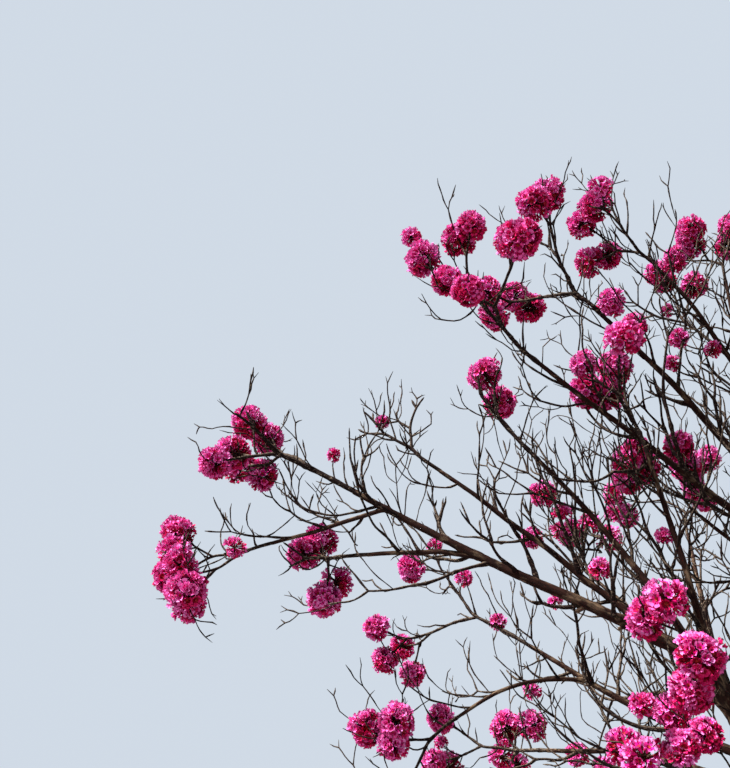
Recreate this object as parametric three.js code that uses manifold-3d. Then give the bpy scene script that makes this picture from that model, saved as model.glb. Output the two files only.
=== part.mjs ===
// Pink trumpet tree in bloom: a young, leafless tree that forks well above head height.
// The trunk and every bough are tapering limbs of their own, and each mass of blossom is one
// branching spray that grows from the tip of its limb. Millimetres, +Z up, the origin at the
// middle of the flat cut under the trunk.
import * as THREE from "three";
import Module from "manifold-3d";

const wasm = await Module();
wasm.setup();

// Trunk
const TRUNK_HEIGHT = 3270;
const TRUNK_LEAN = 130;
const TRUNK_LEAN_AZIMUTH = 212;
const TRUNK_BOW = 55;
const TRUNK_SIDES = 12;
const TRUNK_STEPS = 9;
const TRUNK_RADII = [
  { height: 0, radius: 158 }, { height: 90, radius: 134 }, { height: 240, radius: 116 },
  { height: 600, radius: 107 }, { height: 1300, radius: 101 }, { height: 2100, radius: 95 },
  { height: 2800, radius: 90 }, { height: 3080, radius: 92 }, { height: 3200, radius: 80 },
  { height: TRUNK_HEIGHT, radius: 58 },
];
const ROOT_LOBES = 5;
const ROOT_LOBE_DEPTH = 0.16;
const ROOT_LOBE_HEIGHT = 260;

// Limbs: where each leaves its parent, as a share of the parent's length, the way it heads
// (azimuth from +X and pitch from level, in degrees), how long it is, how far it turns and lifts
// along its length, in degrees, and its radii at both ends
const LIMBS = {
  west_stem: {
    from: "trunk", at: 1, aim: [221, 24], long: 580, curve: [0, 0], radii: [47, 40],
  },
  leader: {
    from: "trunk", at: 1, aim: [303, 64], long: 1750, curve: [6, 13], radii: [54, 27],
  },
  east_stem: {
    from: "trunk", at: 0.98, aim: [12, 40], long: 700, curve: [0, 8], radii: [45, 36],
  },
  north_stem: {
    from: "trunk", at: 0.955, aim: [82, 50], long: 750, curve: [0, 8], radii: [42, 32],
  },
  west_bough: {
    from: "west_stem", at: 1, aim: [181, 19], long: 1740, curve: [3, 3], radii: [32, 14],
  },
  west_low_limb: {
    from: "west_bough", at: 0.62, aim: [167, 7], long: 530, curve: [-6, -8], radii: [14, 10],
  },
  west_tip_limb: {
    from: "west_bough", at: 0.9, aim: [158, -13], long: 580, curve: [4, -4], radii: [12, 9],
  },
  west_high_limb: {
    from: "west_bough", at: 0.12, aim: [188, 37], long: 1240, curve: [-2, -7], radii: [19, 10],
  },
  southwest_limb: {
    from: "west_stem", at: 0.97, aim: [201, 54], long: 1170, curve: [-11, -15], radii: [21, 11],
  },
  southwest_high_limb: {
    from: "west_stem", at: 0.8, aim: [236, 64], long: 1060, curve: [-10, -6], radii: [20, 11],
  },
  southwest_bough: {
    from: "leader", at: 0.55, aim: [202, 24], long: 1620, curve: [2, -11], radii: [24, 11],
  },
  south_bough: {
    from: "leader", at: 0.62, aim: [212, 43], long: 1450, curve: [-10, -15], radii: [24, 12],
  },
  south_high_limb: {
    from: "leader", at: 0.77, aim: [227, 52], long: 1350, curve: [-22, -18], radii: [20, 10],
  },
  south_top_limb: {
    from: "south_high_limb", at: 0.45, aim: [255, 79], long: 680, curve: [0, -2], radii: [13, 9],
  },
  northwest_bough: {
    from: "trunk", at: 0.985, aim: [154, 30], long: 1270, curve: [5, 4], radii: [26, 11],
  },
  northwest_low_limb: {
    from: "northwest_bough", at: 0.72, aim: [172, 2], long: 700, curve: [6, -44], radii: [12, 9],
  },
  north_low_bough: {
    from: "trunk", at: 0.94, aim: [137, 33], long: 1250, curve: [-5, -26], radii: [24, 11],
  },
  near_limb: {
    from: "trunk", at: 0.955, aim: [238, 12], long: 640, curve: [8, 6], radii: [18, 11],
  },
  low_limb: {
    from: "trunk", at: 0.925, aim: [192, 12], long: 340, curve: [0, 5], radii: [15, 9],
  },
  east_bough: {
    from: "east_stem", at: 1, aim: [3, 24], long: 1350, curve: [-8, 4], radii: [30, 12],
  },
  east_high_limb: {
    from: "east_stem", at: 0.88, aim: [328, 54], long: 1400, curve: [-8, -6], radii: [24, 11],
  },
  northeast_bough: {
    from: "east_stem", at: 0.75, aim: [48, 32], long: 1350, curve: [6, -8], radii: [24, 11],
  },
  north_bough: {
    from: "north_stem", at: 1, aim: [92, 26], long: 1250, curve: [6, -6], radii: [26, 11],
  },
  north_high_limb: {
    from: "north_stem", at: 0.88, aim: [74, 71], long: 1650, curve: [-8, -8], radii: [24, 11],
  },
  northwest_high_limb: {
    from: "north_stem", at: 0.76, aim: [144, 58], long: 1100, curve: [8, -6], radii: [20, 11],
  },
  inner_limb: {
    from: "leader", at: 0.46, aim: [176, 42], long: 560, curve: [-6, 6], radii: [15, 9],
  },
  southeast_bough: {
    from: "leader", at: 0.3, aim: [322, 24], long: 1500, curve: [6, 4], radii: [25, 11],
  },
  south_low_limb: {
    from: "leader", at: 0.42, aim: [268, 28], long: 1150, curve: [-6, -6], radii: [19, 10],
  },
  top_west_limb: {
    from: "leader", at: 1, aim: [165, 66], long: 750, curve: [-10, -4], radii: [20, 10],
  },
  top_east_limb: {
    from: "leader", at: 0.97, aim: [48, 44], long: 1200, curve: [10, 4], radii: [20, 10],
  },
  top_south_limb: {
    from: "leader", at: 0.9, aim: [285, 50], long: 900, curve: [6, 2], radii: [19, 10],
  },
};
const LIMB_STEPS = 6;
const LIMB_SIDES = 6;
const LIMB_WANDER = 3;
const FIRST_LIMB_SEED = 101;
const LIMB_TAPER = 0.85;

// Blossom masses: each grows from the tip of the limb it is named after, with its own seed,
// its reach from that tip, the share of its shoot tips that are in flower, and how strongly its
// shoots rise
const MASSES = [
  { limb: "west_bough", seed: 28390, reach: 720, bloom: 0.75, lift: 0.2 },
  { limb: "west_tip_limb", seed: 46927, reach: 480, bloom: 0.5, lift: -0.1 },
  { limb: "west_low_limb", seed: 50886, reach: 400, bloom: 0.9, lift: 0.1 },
  { limb: "west_high_limb", seed: 381, reach: 520, bloom: 0.35, lift: 0.3 },
  { limb: "southwest_limb", seed: 28131, reach: 600, bloom: 0.45, lift: 0.3 },
  { limb: "southwest_high_limb", seed: 48740, reach: 560, bloom: 0.7, lift: 0.3 },
  { limb: "southwest_bough", seed: 15921, reach: 800, bloom: 0.95, lift: 0.3 },
  { limb: "south_bough", seed: 34902, reach: 700, bloom: 0.95, lift: 0.3 },
  { limb: "south_high_limb", seed: 60025, reach: 560, bloom: 0.6, lift: 0.3 },
  { limb: "south_top_limb", seed: 14108, reach: 460, bloom: 0.7, lift: 0.3 },
  { limb: "northwest_bough", seed: 50812, reach: 800, bloom: 0.8, lift: -0.1 },
  { limb: "northwest_low_limb", seed: 60728, reach: 440, bloom: 0.8, lift: 0 },
  { limb: "north_low_bough", seed: 65538, reach: 640, bloom: 0.85, lift: 0.2 },
  { limb: "near_limb", seed: 70274, reach: 620, bloom: 0.85, lift: 0.2 },
  { limb: "low_limb", seed: 51367, reach: 380, bloom: 0.7, lift: 0 },
  { limb: "inner_limb", seed: 2823, reach: 420, bloom: 0.75, lift: 0.3 },
  { limb: "east_bough", seed: 1003, reach: 820, bloom: 0.65, lift: 0.3 },
  { limb: "east_high_limb", seed: 499, reach: 720, bloom: 0.65, lift: 0.3 },
  { limb: "northeast_bough", seed: 3614, reach: 800, bloom: 0.65, lift: 0.3 },
  { limb: "north_bough", seed: 41451, reach: 760, bloom: 0.6, lift: 0.3 },
  { limb: "north_high_limb", seed: 1852, reach: 720, bloom: 0.65, lift: 0.3 },
  { limb: "northwest_high_limb", seed: 73271, reach: 640, bloom: 0.5, lift: 0.3 },
  { limb: "southeast_bough", seed: 4554, reach: 800, bloom: 0.65, lift: 0.3 },
  { limb: "south_low_limb", seed: 5670, reach: 640, bloom: 0.65, lift: 0.2 },
  { limb: "top_west_limb", seed: 40637, reach: 600, bloom: 0.5, lift: 0.3 },
  { limb: "top_east_limb", seed: 3041, reach: 700, bloom: 0.65, lift: 0.3 },
  { limb: "top_south_limb", seed: 7520, reach: 660, bloom: 0.65, lift: 0.3 },
];
const SHOOT_SHARES = [0.4, 0.3, 0.22, 0.15];
const SHOOT_LENGTHS = [0.75, 1.25];
const STRAIGHT_LEVEL = 2;
const SHOOT_BEND = 16;
const SHOOT_TAPER = 0.95;
const FORK_TAPER = 0.8;
const FORK_SPREAD = 38;
const FORK_SPREADS = [0.8, 1.2];
const FORK_EVENNESS = 0.55;
const FORK_TWISTS = [60, 120];
const STEM_SHARE = 0.95;
const TWIG_SIDES = 3;
const BLOOM_RADIUS = 94;
const BLOOM_VARIETY = 0.28;
const BLOOM_SEAT = 0.62;
const BLOOM_BACK = 0.95;
const BLOOM_BELT = 28;

// Clearances
const SEAM = 0.3;
const CLEARANCE = 5;

// Colours
const BARK = { color: 0x4a3a30, roughness: 0.9, metalness: 0 };
const BLOSSOM = { color: 0xd6549f, roughness: 0.7, metalness: 0 };

// A value between two ends, at a share of the way
function between([low, high], share) {
  return low + (high - low) * share;
}

// Seeded dice: the Park-Miller generator, which gives the same rolls in any language
function dice(seed) {
  let state = seed;
  const roll = () => {
    state = (state * 16807) % 2147483647;
    return state / 2147483647;
  };
  for (let warm = 0; warm < 4; warm++) roll();
  return roll;
}

function heading(azimuth, pitch) {
  const a = THREE.MathUtils.degToRad(azimuth);
  const p = THREE.MathUtils.degToRad(pitch);
  return new THREE.Vector3(Math.cos(p) * Math.cos(a), Math.cos(p) * Math.sin(a), Math.sin(p));
}

function ahead(point, direction, distance) {
  return point.clone().addScaledVector(direction, distance);
}

function turned(direction, axis, degrees) {
  return direction.clone().applyAxisAngle(axis, THREE.MathUtils.degToRad(degrees));
}

// A direction square to another, turned about it by a number of degrees from level
function squareTo(direction, degrees) {
  const level = new THREE.Vector3(-direction.y, direction.x, 0);
  if (level.length() < 0.05) level.set(1, 0, 0);
  return turned(level.normalize(), direction, degrees);
}

// The trunk's radius at a height, straight between the sizes given
function trunkRadius(height) {
  const upper = TRUNK_RADII.findIndex((size) => size.height >= height);
  if (upper <= 0) return TRUNK_RADII[0].radius;
  const [low, high] = [TRUNK_RADII[upper - 1], TRUNK_RADII[upper]];
  return THREE.MathUtils.mapLinear(height, low.height, high.height, low.radius, high.radius);
}

// The trunk's line leans to one side and bows a little across the lean
function trunkPoint(height) {
  const share = height / TRUNK_HEIGHT;
  const lean = heading(TRUNK_LEAN_AZIMUTH, 0).multiplyScalar(TRUNK_LEAN * share);
  const bow = heading(TRUNK_LEAN_AZIMUTH + 90, 0).multiplyScalar(TRUNK_BOW * Math.sin(Math.PI * share));
  return lean.add(bow).setZ(height);
}

// A point along a line of points, at a share of its length
function along(points, share) {
  const place = share * (points.length - 1);
  const step = Math.min(Math.floor(place), points.length - 2);
  return points[step].clone().lerp(points[step + 1], place - step);
}

// Each limb's line of points and radii: it turns and lifts evenly, and wanders a little
function limbLines() {
  const trunk = { points: [], radii: [] };
  for (let step = 0; step <= TRUNK_STEPS; step++) {
    const height = (TRUNK_HEIGHT * step) / TRUNK_STEPS;
    trunk.points.push(trunkPoint(height));
    trunk.radii.push(trunkRadius(height));
  }
  const lines = { trunk };
  Object.entries(LIMBS).forEach(([name, limb], index) => {
    const roll = dice(FIRST_LIMB_SEED + index);
    const [base, tip] = limb.radii;
    const points = [along(lines[limb.from].points, limb.at)];
    const radii = [base];
    for (let step = 0; step < LIMB_STEPS; step++) {
      const share = (step + 0.5) / LIMB_STEPS;
      const azimuth = limb.aim[0] + limb.curve[0] * share + LIMB_WANDER * (2 * roll() - 1);
      const pitch = limb.aim[1] + limb.curve[1] * share + LIMB_WANDER * (2 * roll() - 1);
      points.push(ahead(points[step], heading(azimuth, pitch), limb.long / LIMB_STEPS));
      radii.push(base + (tip - base) * ((step + 1) / LIMB_STEPS) ** LIMB_TAPER);
    }
    lines[name] = { points, radii };
  });
  return lines;
}

// The shortest distance between two straight stretches
function gapBetween(a, b, c, d) {
  const u = b.clone().sub(a);
  const v = d.clone().sub(c);
  const w = a.clone().sub(c);
  const uu = u.dot(u);
  const uv = u.dot(v);
  const vv = v.dot(v);
  const uw = u.dot(w);
  const vw = v.dot(w);
  const skew = uu * vv - uv * uv;
  let s = skew > 1e-9 ? THREE.MathUtils.clamp((uv * vw - vv * uw) / skew, 0, 1) : 0;
  let t = (uv * s + vw) / vv;
  if (t < 0) {
    t = 0;
    s = THREE.MathUtils.clamp(-uw / uu, 0, 1);
  } else if (t > 1) {
    t = 1;
    s = THREE.MathUtils.clamp((uv - uw) / uu, 0, 1);
  }
  return ahead(a, u, s).distanceTo(ahead(c, v, t));
}

// A mass's own space: its middle lies half its reach beyond the limb's tip, and between two
// masses runs the plane where both are equally near for their size
function massSpaces(lines) {
  return MASSES.map((mass) => {
    const { points } = lines[mass.limb];
    const tip = points[LIMB_STEPS];
    const direction = tip.clone().sub(points[LIMB_STEPS - 1]).normalize();
    return { tip, direction, middle: ahead(tip, direction, mass.reach / 2), size: mass.reach / 2 };
  });
}

function roomInSpace(point, own, spaces) {
  let room = Infinity;
  for (const other of spaces) {
    if (other === own) continue;
    const toOther = point.distanceToSquared(other.middle) - other.size ** 2;
    const toOwn = point.distanceToSquared(own.middle) - own.size ** 2;
    room = Math.min(room, (toOther - toOwn) / (2 * own.middle.distanceTo(other.middle)));
  }
  return room;
}

function roomFromLimbs(a, b, lines, skipped) {
  let room = Infinity;
  for (const [name, { points, radii }] of Object.entries(lines)) {
    const last = points.length - 1;
    for (let step = 0; step < last; step++) {
      if (name === skipped && step === last - 1) continue;
      const radius = Math.max(radii[step], radii[step + 1]);
      room = Math.min(room, gapBetween(a, b, points[step], points[step + 1]) - radius);
    }
  }
  return room;
}

// A mass branches from one stem: every shoot bends towards the light and forks in two, each fork
// about square to the last, and its bend shows in the first levels. The stronger fork carries the
// shoot's line on and the other starts a line of its own. A shoot or bloom that would leave the
// mass's space or come too near a limb is skipped, and a line that ends may carry a bloom.
function growMass(mass, space, spaces, lines) {
  const roll = dice(mass.seed);
  const twigs = [];
  const fits = (a, b, radius, skipped) =>
    roomInSpace(a, space, spaces) > radius + SEAM &&
    roomInSpace(b, space, spaces) > radius + SEAM &&
    roomFromLimbs(a, b, lines, skipped) > radius + CLEARANCE;

  const endInBloom = (twig, direction) => {
    const radius = BLOOM_RADIUS * (1 - BLOOM_VARIETY * roll() ** 2);
    const centre = ahead(twig.points.at(-1), direction, radius * BLOOM_SEAT);
    const inBloom = roll() < mass.bloom;
    if (inBloom && fits(centre, ahead(centre, direction, 1), radius)) {
      twig.bloom = { centre, radius, direction };
    }
  };

  const shoot = (twig, direction, radius, level, twist) => {
    const length = mass.reach * SHOOT_SHARES[level] * between(SHOOT_LENGTHS, roll());
    const bend = SHOOT_BEND * (2 * roll() - 1);
    const bent = turned(direction, squareTo(direction, 360 * roll()), bend);
    bent.z += mass.lift * roll();
    bent.normalize();
    const start = twig.points.at(-1);
    const middle = ahead(start, direction, length / 2);
    const tip = ahead(middle, bent, length / 2);
    const skipped = level === 0 ? mass.limb : "";
    if (!fits(start, middle, radius, skipped) || !fits(middle, tip, radius, "")) return false;
    if (level < STRAIGHT_LEVEL) {
      twig.points.push(middle);
      twig.radii.push(radius * SHOOT_TAPER);
    }
    twig.points.push(tip);
    twig.radii.push(radius * SHOOT_TAPER ** 2);
    let forks = 0;
    if (level < SHOOT_SHARES.length - 1) {
      const strong = roll() < 0.5 ? -1 : 1;
      const axis = squareTo(bent, twist);
      for (const side of [strong, -strong]) {
        const evenness = side === strong ? FORK_EVENNESS : 1;
        const spread = FORK_SPREAD * evenness * between(FORK_SPREADS, roll());
        const next = turned(bent, axis, side * spread);
        const thin = radius * FORK_TAPER;
        const root = { points: [ahead(tip, bent, -radius)], radii: [thin] };
        const line = side === strong ? twig : root;
        if (!shoot(line, next, thin, level + 1, twist + between(FORK_TWISTS, roll()))) continue;
        forks++;
        if (line === root) twigs.push(root);
      }
    }
    if (forks === 0) endInBloom(twig, bent);
    return true;
  };

  const radius = STEM_SHARE * lines[mass.limb].radii[LIMB_STEPS];
  const stem = { points: [ahead(space.tip, space.direction, SEAM)], radii: [radius] };
  if (shoot(stem, space.direction, radius, 0, 180 * roll())) twigs.push(stem);
  return twigs;
}

// Faces between two rings of a skin: the next ring has as many points, twice as many, or one
function faces(index, low, lowSides, high, highSides) {
  for (let side = 0; side < lowSides; side++) {
    const a = low + side;
    const b = low + ((side + 1) % lowSides);
    if (highSides === 1) {
      index.push(a, b, high);
    } else if (highSides === lowSides) {
      const next = high + ((side + 1) % lowSides);
      index.push(a, b, next, a, next, high + side);
    } else {
      const first = high + 2 * side;
      const last = high + ((2 * side + 2) % highSides);
      index.push(a, b, first + 1, a, first + 1, first, b, last, first + 1);
    }
  }
}

// A closed skin over rings of points, each turning left about the way to the next
function loft(rings) {
  const index = [];
  const first = rings[0].length;
  for (let side = 2; side < first; side++) index.push(0, side, side - 1);
  let low = 0;
  for (let ring = 1; ring < rings.length; ring++) {
    const high = low + rings[ring - 1].length;
    faces(index, low, rings[ring - 1].length, high, rings[ring].length);
    low = high;
  }
  const last = rings.at(-1).length;
  for (let side = 2; side < last; side++) index.push(low, low + side - 1, low + side);
  const geometry = new THREE.BufferGeometry().setFromPoints(rings.flat());
  geometry.setIndex(index);
  return geometry;
}

// A ring of spokes about a centre, square to a way
function spokes(centre, way, square, radius, sides, offset) {
  const ring = [];
  for (let side = 0; side < sides; side++) {
    const spoke = turned(square, way, (360 * (side + offset)) / sides);
    ring.push(ahead(centre, spoke, radius));
  }
  return ring;
}

// The rings of a round limb along its line, square to the way it goes; a skin makes the limb
// thicker and longer all round, for cutting its neighbours clear
function limbRings(points, radii, sides, skin) {
  const last = points.length - 1;
  const square = squareTo(points[1].clone().sub(points[0]).normalize(), 0);
  return points.map((point, place) => {
    const before = points[Math.max(place - 1, 0)];
    const after = points[Math.min(place + 1, last)];
    const way = after.clone().sub(before).normalize();
    square.addScaledVector(way, -square.dot(way)).normalize();
    const reach = place === 0 ? -skin : place === last ? skin : 0;
    const radius = radii[place] + skin / Math.cos(Math.PI / sides);
    return spokes(ahead(point, way, reach), way, square, radius, sides, 0);
  });
}

// The trunk's rings lie level and swell into root lobes near the ground
function trunkRings(skin) {
  return TRUNK_RADII.map(({ height, radius }) => {
    const centre = trunkPoint(height);
    if (height === TRUNK_HEIGHT) centre.z += skin;
    const lobes = ROOT_LOBE_DEPTH * Math.max(0, 1 - height / ROOT_LOBE_HEIGHT);
    const ring = [];
    for (let side = 0; side < TRUNK_SIDES; side++) {
      const degrees = (360 * side) / TRUNK_SIDES;
      const swell = 1 + lobes * Math.cos(THREE.MathUtils.degToRad(ROOT_LOBES * degrees));
      const reach = radius * swell + skin / Math.cos(Math.PI / TRUNK_SIDES);
      ring.push(ahead(centre, heading(degrees, 0), reach));
    }
    return ring;
  });
}

// A twig's rings, which open at its tip into a faceted ball where it carries a bloom
function twigRings({ points, radii, bloom }) {
  const line = points.slice();
  if (bloom) line[line.length - 1] = ahead(bloom.centre, bloom.direction, -BLOOM_BACK * bloom.radius);
  const rings = limbRings(line, radii, TWIG_SIDES, 0);
  if (bloom) {
    const { centre, radius, direction } = bloom;
    const square = rings.at(-1)[0].clone().sub(line.at(-1));
    square.addScaledVector(direction, -square.dot(direction)).normalize();
    const rise = radius * Math.sin(THREE.MathUtils.degToRad(BLOOM_BELT));
    const width = radius * Math.cos(THREE.MathUtils.degToRad(BLOOM_BELT));
    const sides = 2 * TWIG_SIDES;
    rings.push(spokes(ahead(centre, direction, -rise), direction, square, width, sides, 0));
    rings.push(spokes(ahead(centre, direction, rise), direction, square, width, sides, 0.5));
    rings.push([ahead(centre, direction, radius)]);
  }
  return rings;
}

function solid(geometry) {
  const vertProperties = new Float32Array(geometry.getAttribute("position").array);
  const triVerts = new Uint32Array(geometry.getIndex().array);
  return new wasm.Manifold(new wasm.Mesh({ numProp: 3, vertProperties, triVerts }));
}

// The largest body of a cut or joined solid, without scraps and without sealed hollows
function largestBody(body) {
  const pieces = body.decompose();
  return pieces.reduce((best, piece) => (piece.volume() > best.volume() ? piece : best));
}

function namedMesh(name, body, finish) {
  const { vertProperties, triVerts } = body.getMesh();
  const geometry = new THREE.BufferGeometry();
  geometry.setAttribute("position", new THREE.BufferAttribute(vertProperties, 3));
  geometry.setIndex(new THREE.BufferAttribute(triVerts, 1));
  geometry.computeVertexNormals();
  const mesh = new THREE.Mesh(geometry, new THREE.MeshStandardMaterial(finish));
  mesh.name = name;
  return mesh;
}

const tree = new THREE.Group();
const lines = limbLines();

// Trunk and limbs, each cut clear of those before it
tree.add(namedMesh("trunk", solid(loft(trunkRings(0))), BARK));
const grown = [solid(loft(trunkRings(SEAM)))];
for (const name of Object.keys(LIMBS)) {
  const { points, radii } = lines[name];
  let body = solid(loft(limbRings(points, radii, LIMB_SIDES, 0)));
  for (const before of grown) body = body.subtract(before);
  tree.add(namedMesh(name, largestBody(body), BARK));
  grown.push(solid(loft(limbRings(points, radii, LIMB_SIDES, SEAM))));
}

// Blossom masses, each joined into one body
const spaces = massSpaces(lines);
MASSES.forEach((mass, index) => {
  const twigs = growMass(mass, spaces[index], spaces, lines);
  const body = twigs.map((twig) => solid(loft(twigRings(twig)))).reduce((whole, part) => whole.add(part));
  tree.add(namedMesh(`${mass.limb}_blossom`, largestBody(body), BLOSSOM));
});

export default tree;
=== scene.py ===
# %% [markdown]
# # A pink trumpet tree in bloom
# This lesson dresses the plain solids of a small flowering tree with bark, twigs and blossom.
# The real tree flowers on bare wood: round heads of trumpet flowers sit on the tips of forking
# twigs. The solids come first, because every limb and every large head has its place there.
# Everything below is in metres, with the ground at z = 0.

# %% Load the solids that this scene is built around
import math
import bpy
import numpy as np
from mathutils import Matrix, Vector, noise


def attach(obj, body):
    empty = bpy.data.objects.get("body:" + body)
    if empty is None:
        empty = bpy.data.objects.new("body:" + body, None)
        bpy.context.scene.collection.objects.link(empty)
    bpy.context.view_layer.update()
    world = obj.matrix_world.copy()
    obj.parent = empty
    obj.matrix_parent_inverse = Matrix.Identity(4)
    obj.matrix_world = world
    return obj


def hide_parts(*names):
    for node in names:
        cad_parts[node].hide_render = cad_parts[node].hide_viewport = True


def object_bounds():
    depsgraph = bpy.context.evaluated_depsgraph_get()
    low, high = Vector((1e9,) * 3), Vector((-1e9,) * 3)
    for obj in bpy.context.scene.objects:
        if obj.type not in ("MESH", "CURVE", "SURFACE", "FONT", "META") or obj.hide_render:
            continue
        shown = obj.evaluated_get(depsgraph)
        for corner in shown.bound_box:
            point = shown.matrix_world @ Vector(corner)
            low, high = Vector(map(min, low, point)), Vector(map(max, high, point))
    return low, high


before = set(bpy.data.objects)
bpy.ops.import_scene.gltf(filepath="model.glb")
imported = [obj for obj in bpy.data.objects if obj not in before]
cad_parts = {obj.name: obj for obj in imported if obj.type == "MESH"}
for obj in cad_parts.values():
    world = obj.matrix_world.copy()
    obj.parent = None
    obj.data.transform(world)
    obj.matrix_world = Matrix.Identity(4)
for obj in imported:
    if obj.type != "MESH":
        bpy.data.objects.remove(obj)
solid_low, solid_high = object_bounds()
print("solids reach from", [round(v, 2) for v in solid_low], "to", [round(v, 2) for v in solid_high])

# %% [markdown]
# ## The camera
# The tree is seen from below, from a standing person's height, with the lens tipped up and the
# picture rolled a little. A camera can be placed by eye, or worked out from one point. Here the
# fork of the trunk gives the place: it lies just outside the lower right corner, about four
# metres away, so the camera steps back from the fork along the ray through that pixel.

# %% Place the camera from the fork of the trunk
PICTURE_WIDTH, PICTURE_HEIGHT = 730, 768
FOCAL_PIXELS = 880
SENSOR = 36.0
CAMERA_PITCH = math.radians(43.0)
CAMERA_ROLL = math.radians(7.5)
FORK_PIXEL = (768, 757)
FORK_DEPTH = 3.993


def new_object(name, data):
    made = bpy.data.objects.new(name, data)
    bpy.context.scene.collection.objects.link(made)
    return made


def camera_axes():
    forward = np.array([0, math.cos(CAMERA_PITCH), math.sin(CAMERA_PITCH)])
    level_up = np.array([0, -math.sin(CAMERA_PITCH), math.cos(CAMERA_PITCH)])
    level_right = np.array([1.0, 0, 0])
    right = math.cos(CAMERA_ROLL) * level_right + math.sin(CAMERA_ROLL) * level_up
    up = -math.sin(CAMERA_ROLL) * level_right + math.cos(CAMERA_ROLL) * level_up
    return right, up, forward


def place_camera(fork):
    right, up, forward = camera_axes()
    across = (FORK_PIXEL[0] - PICTURE_WIDTH / 2) / FOCAL_PIXELS
    down = (FORK_PIXEL[1] - PICTURE_HEIGHT / 2) / FOCAL_PIXELS
    place = np.array(fork) - FORK_DEPTH * (forward + across * right - down * up)
    lens = bpy.data.cameras.new("camera")
    lens.sensor_width = SENSOR
    lens.lens = SENSOR * FOCAL_PIXELS / PICTURE_HEIGHT
    lens.clip_end = 200
    camera = new_object("camera", lens)
    camera.matrix_world = Matrix((
        (right[0], up[0], -forward[0], place[0]),
        (right[1], up[1], -forward[1], place[1]),
        (right[2], up[2], -forward[2], place[2]),
        (0, 0, 0, 1),
    ))
    bpy.context.scene.camera = camera
    return place


# %% [markdown]
# ## The growth rule
# A tree's crown can be modelled twig by twig, bought as a plug-in, or grown by a rule. A rule
# keeps thousands of twigs consistent, so this tree is grown: first the trunk, then each limb from
# a row of named sizes, then the masses of twigs at the limbs' tips. The rolls come from a small
# seeded generator, so the tree is the same each time and the same as its solids.

# %% Small vector helpers and the seeded dice
NEARLY_UPRIGHT = 0.05


def heading(azimuth, pitch):
    a, p = math.radians(azimuth), math.radians(pitch)
    return np.array([math.cos(p) * math.cos(a), math.cos(p) * math.sin(a), math.sin(p)])


def unit(vector):
    return vector / math.sqrt(vector @ vector)


def turned(direction, axis, degrees):
    angle = math.radians(degrees)
    spun = direction * math.cos(angle) + np.cross(axis, direction) * math.sin(angle)
    return spun + axis * (axis @ direction) * (1 - math.cos(angle))


def square_to(direction, degrees):
    level = np.array([-direction[1], direction[0], 0.0])
    if math.sqrt(level @ level) < NEARLY_UPRIGHT:
        level = np.array([1.0, 0, 0])
    return turned(unit(level), direction, degrees)


def between(low, high, share):
    return low + (high - low) * share


class Dice:
    """Rolls between 0 and 1, always the same ones for the same seed."""

    def __init__(self, seed):
        self.state = seed
        for _ in range(4):
            self.roll()

    def roll(self):
        self.state = self.state * 16807 % 2147483647
        return self.state / 2147483647

    def swing(self):
        """A roll between -1 and 1."""
        return 2 * self.roll() - 1

    def pick(self, low, high, lean=1):
        """A roll between two values; a lean above 1 makes low values likelier."""
        return between(low, high, self.roll() ** lean)


# %% [markdown]
# The trunk is a bare pole that leans and bows a little, with a flare of five root lobes at the
# ground. Each limb has one row: its parent, where on the parent it starts, its azimuth and pitch
# there, its length, how far it turns and lifts on the way, and its radii at both ends.

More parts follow.
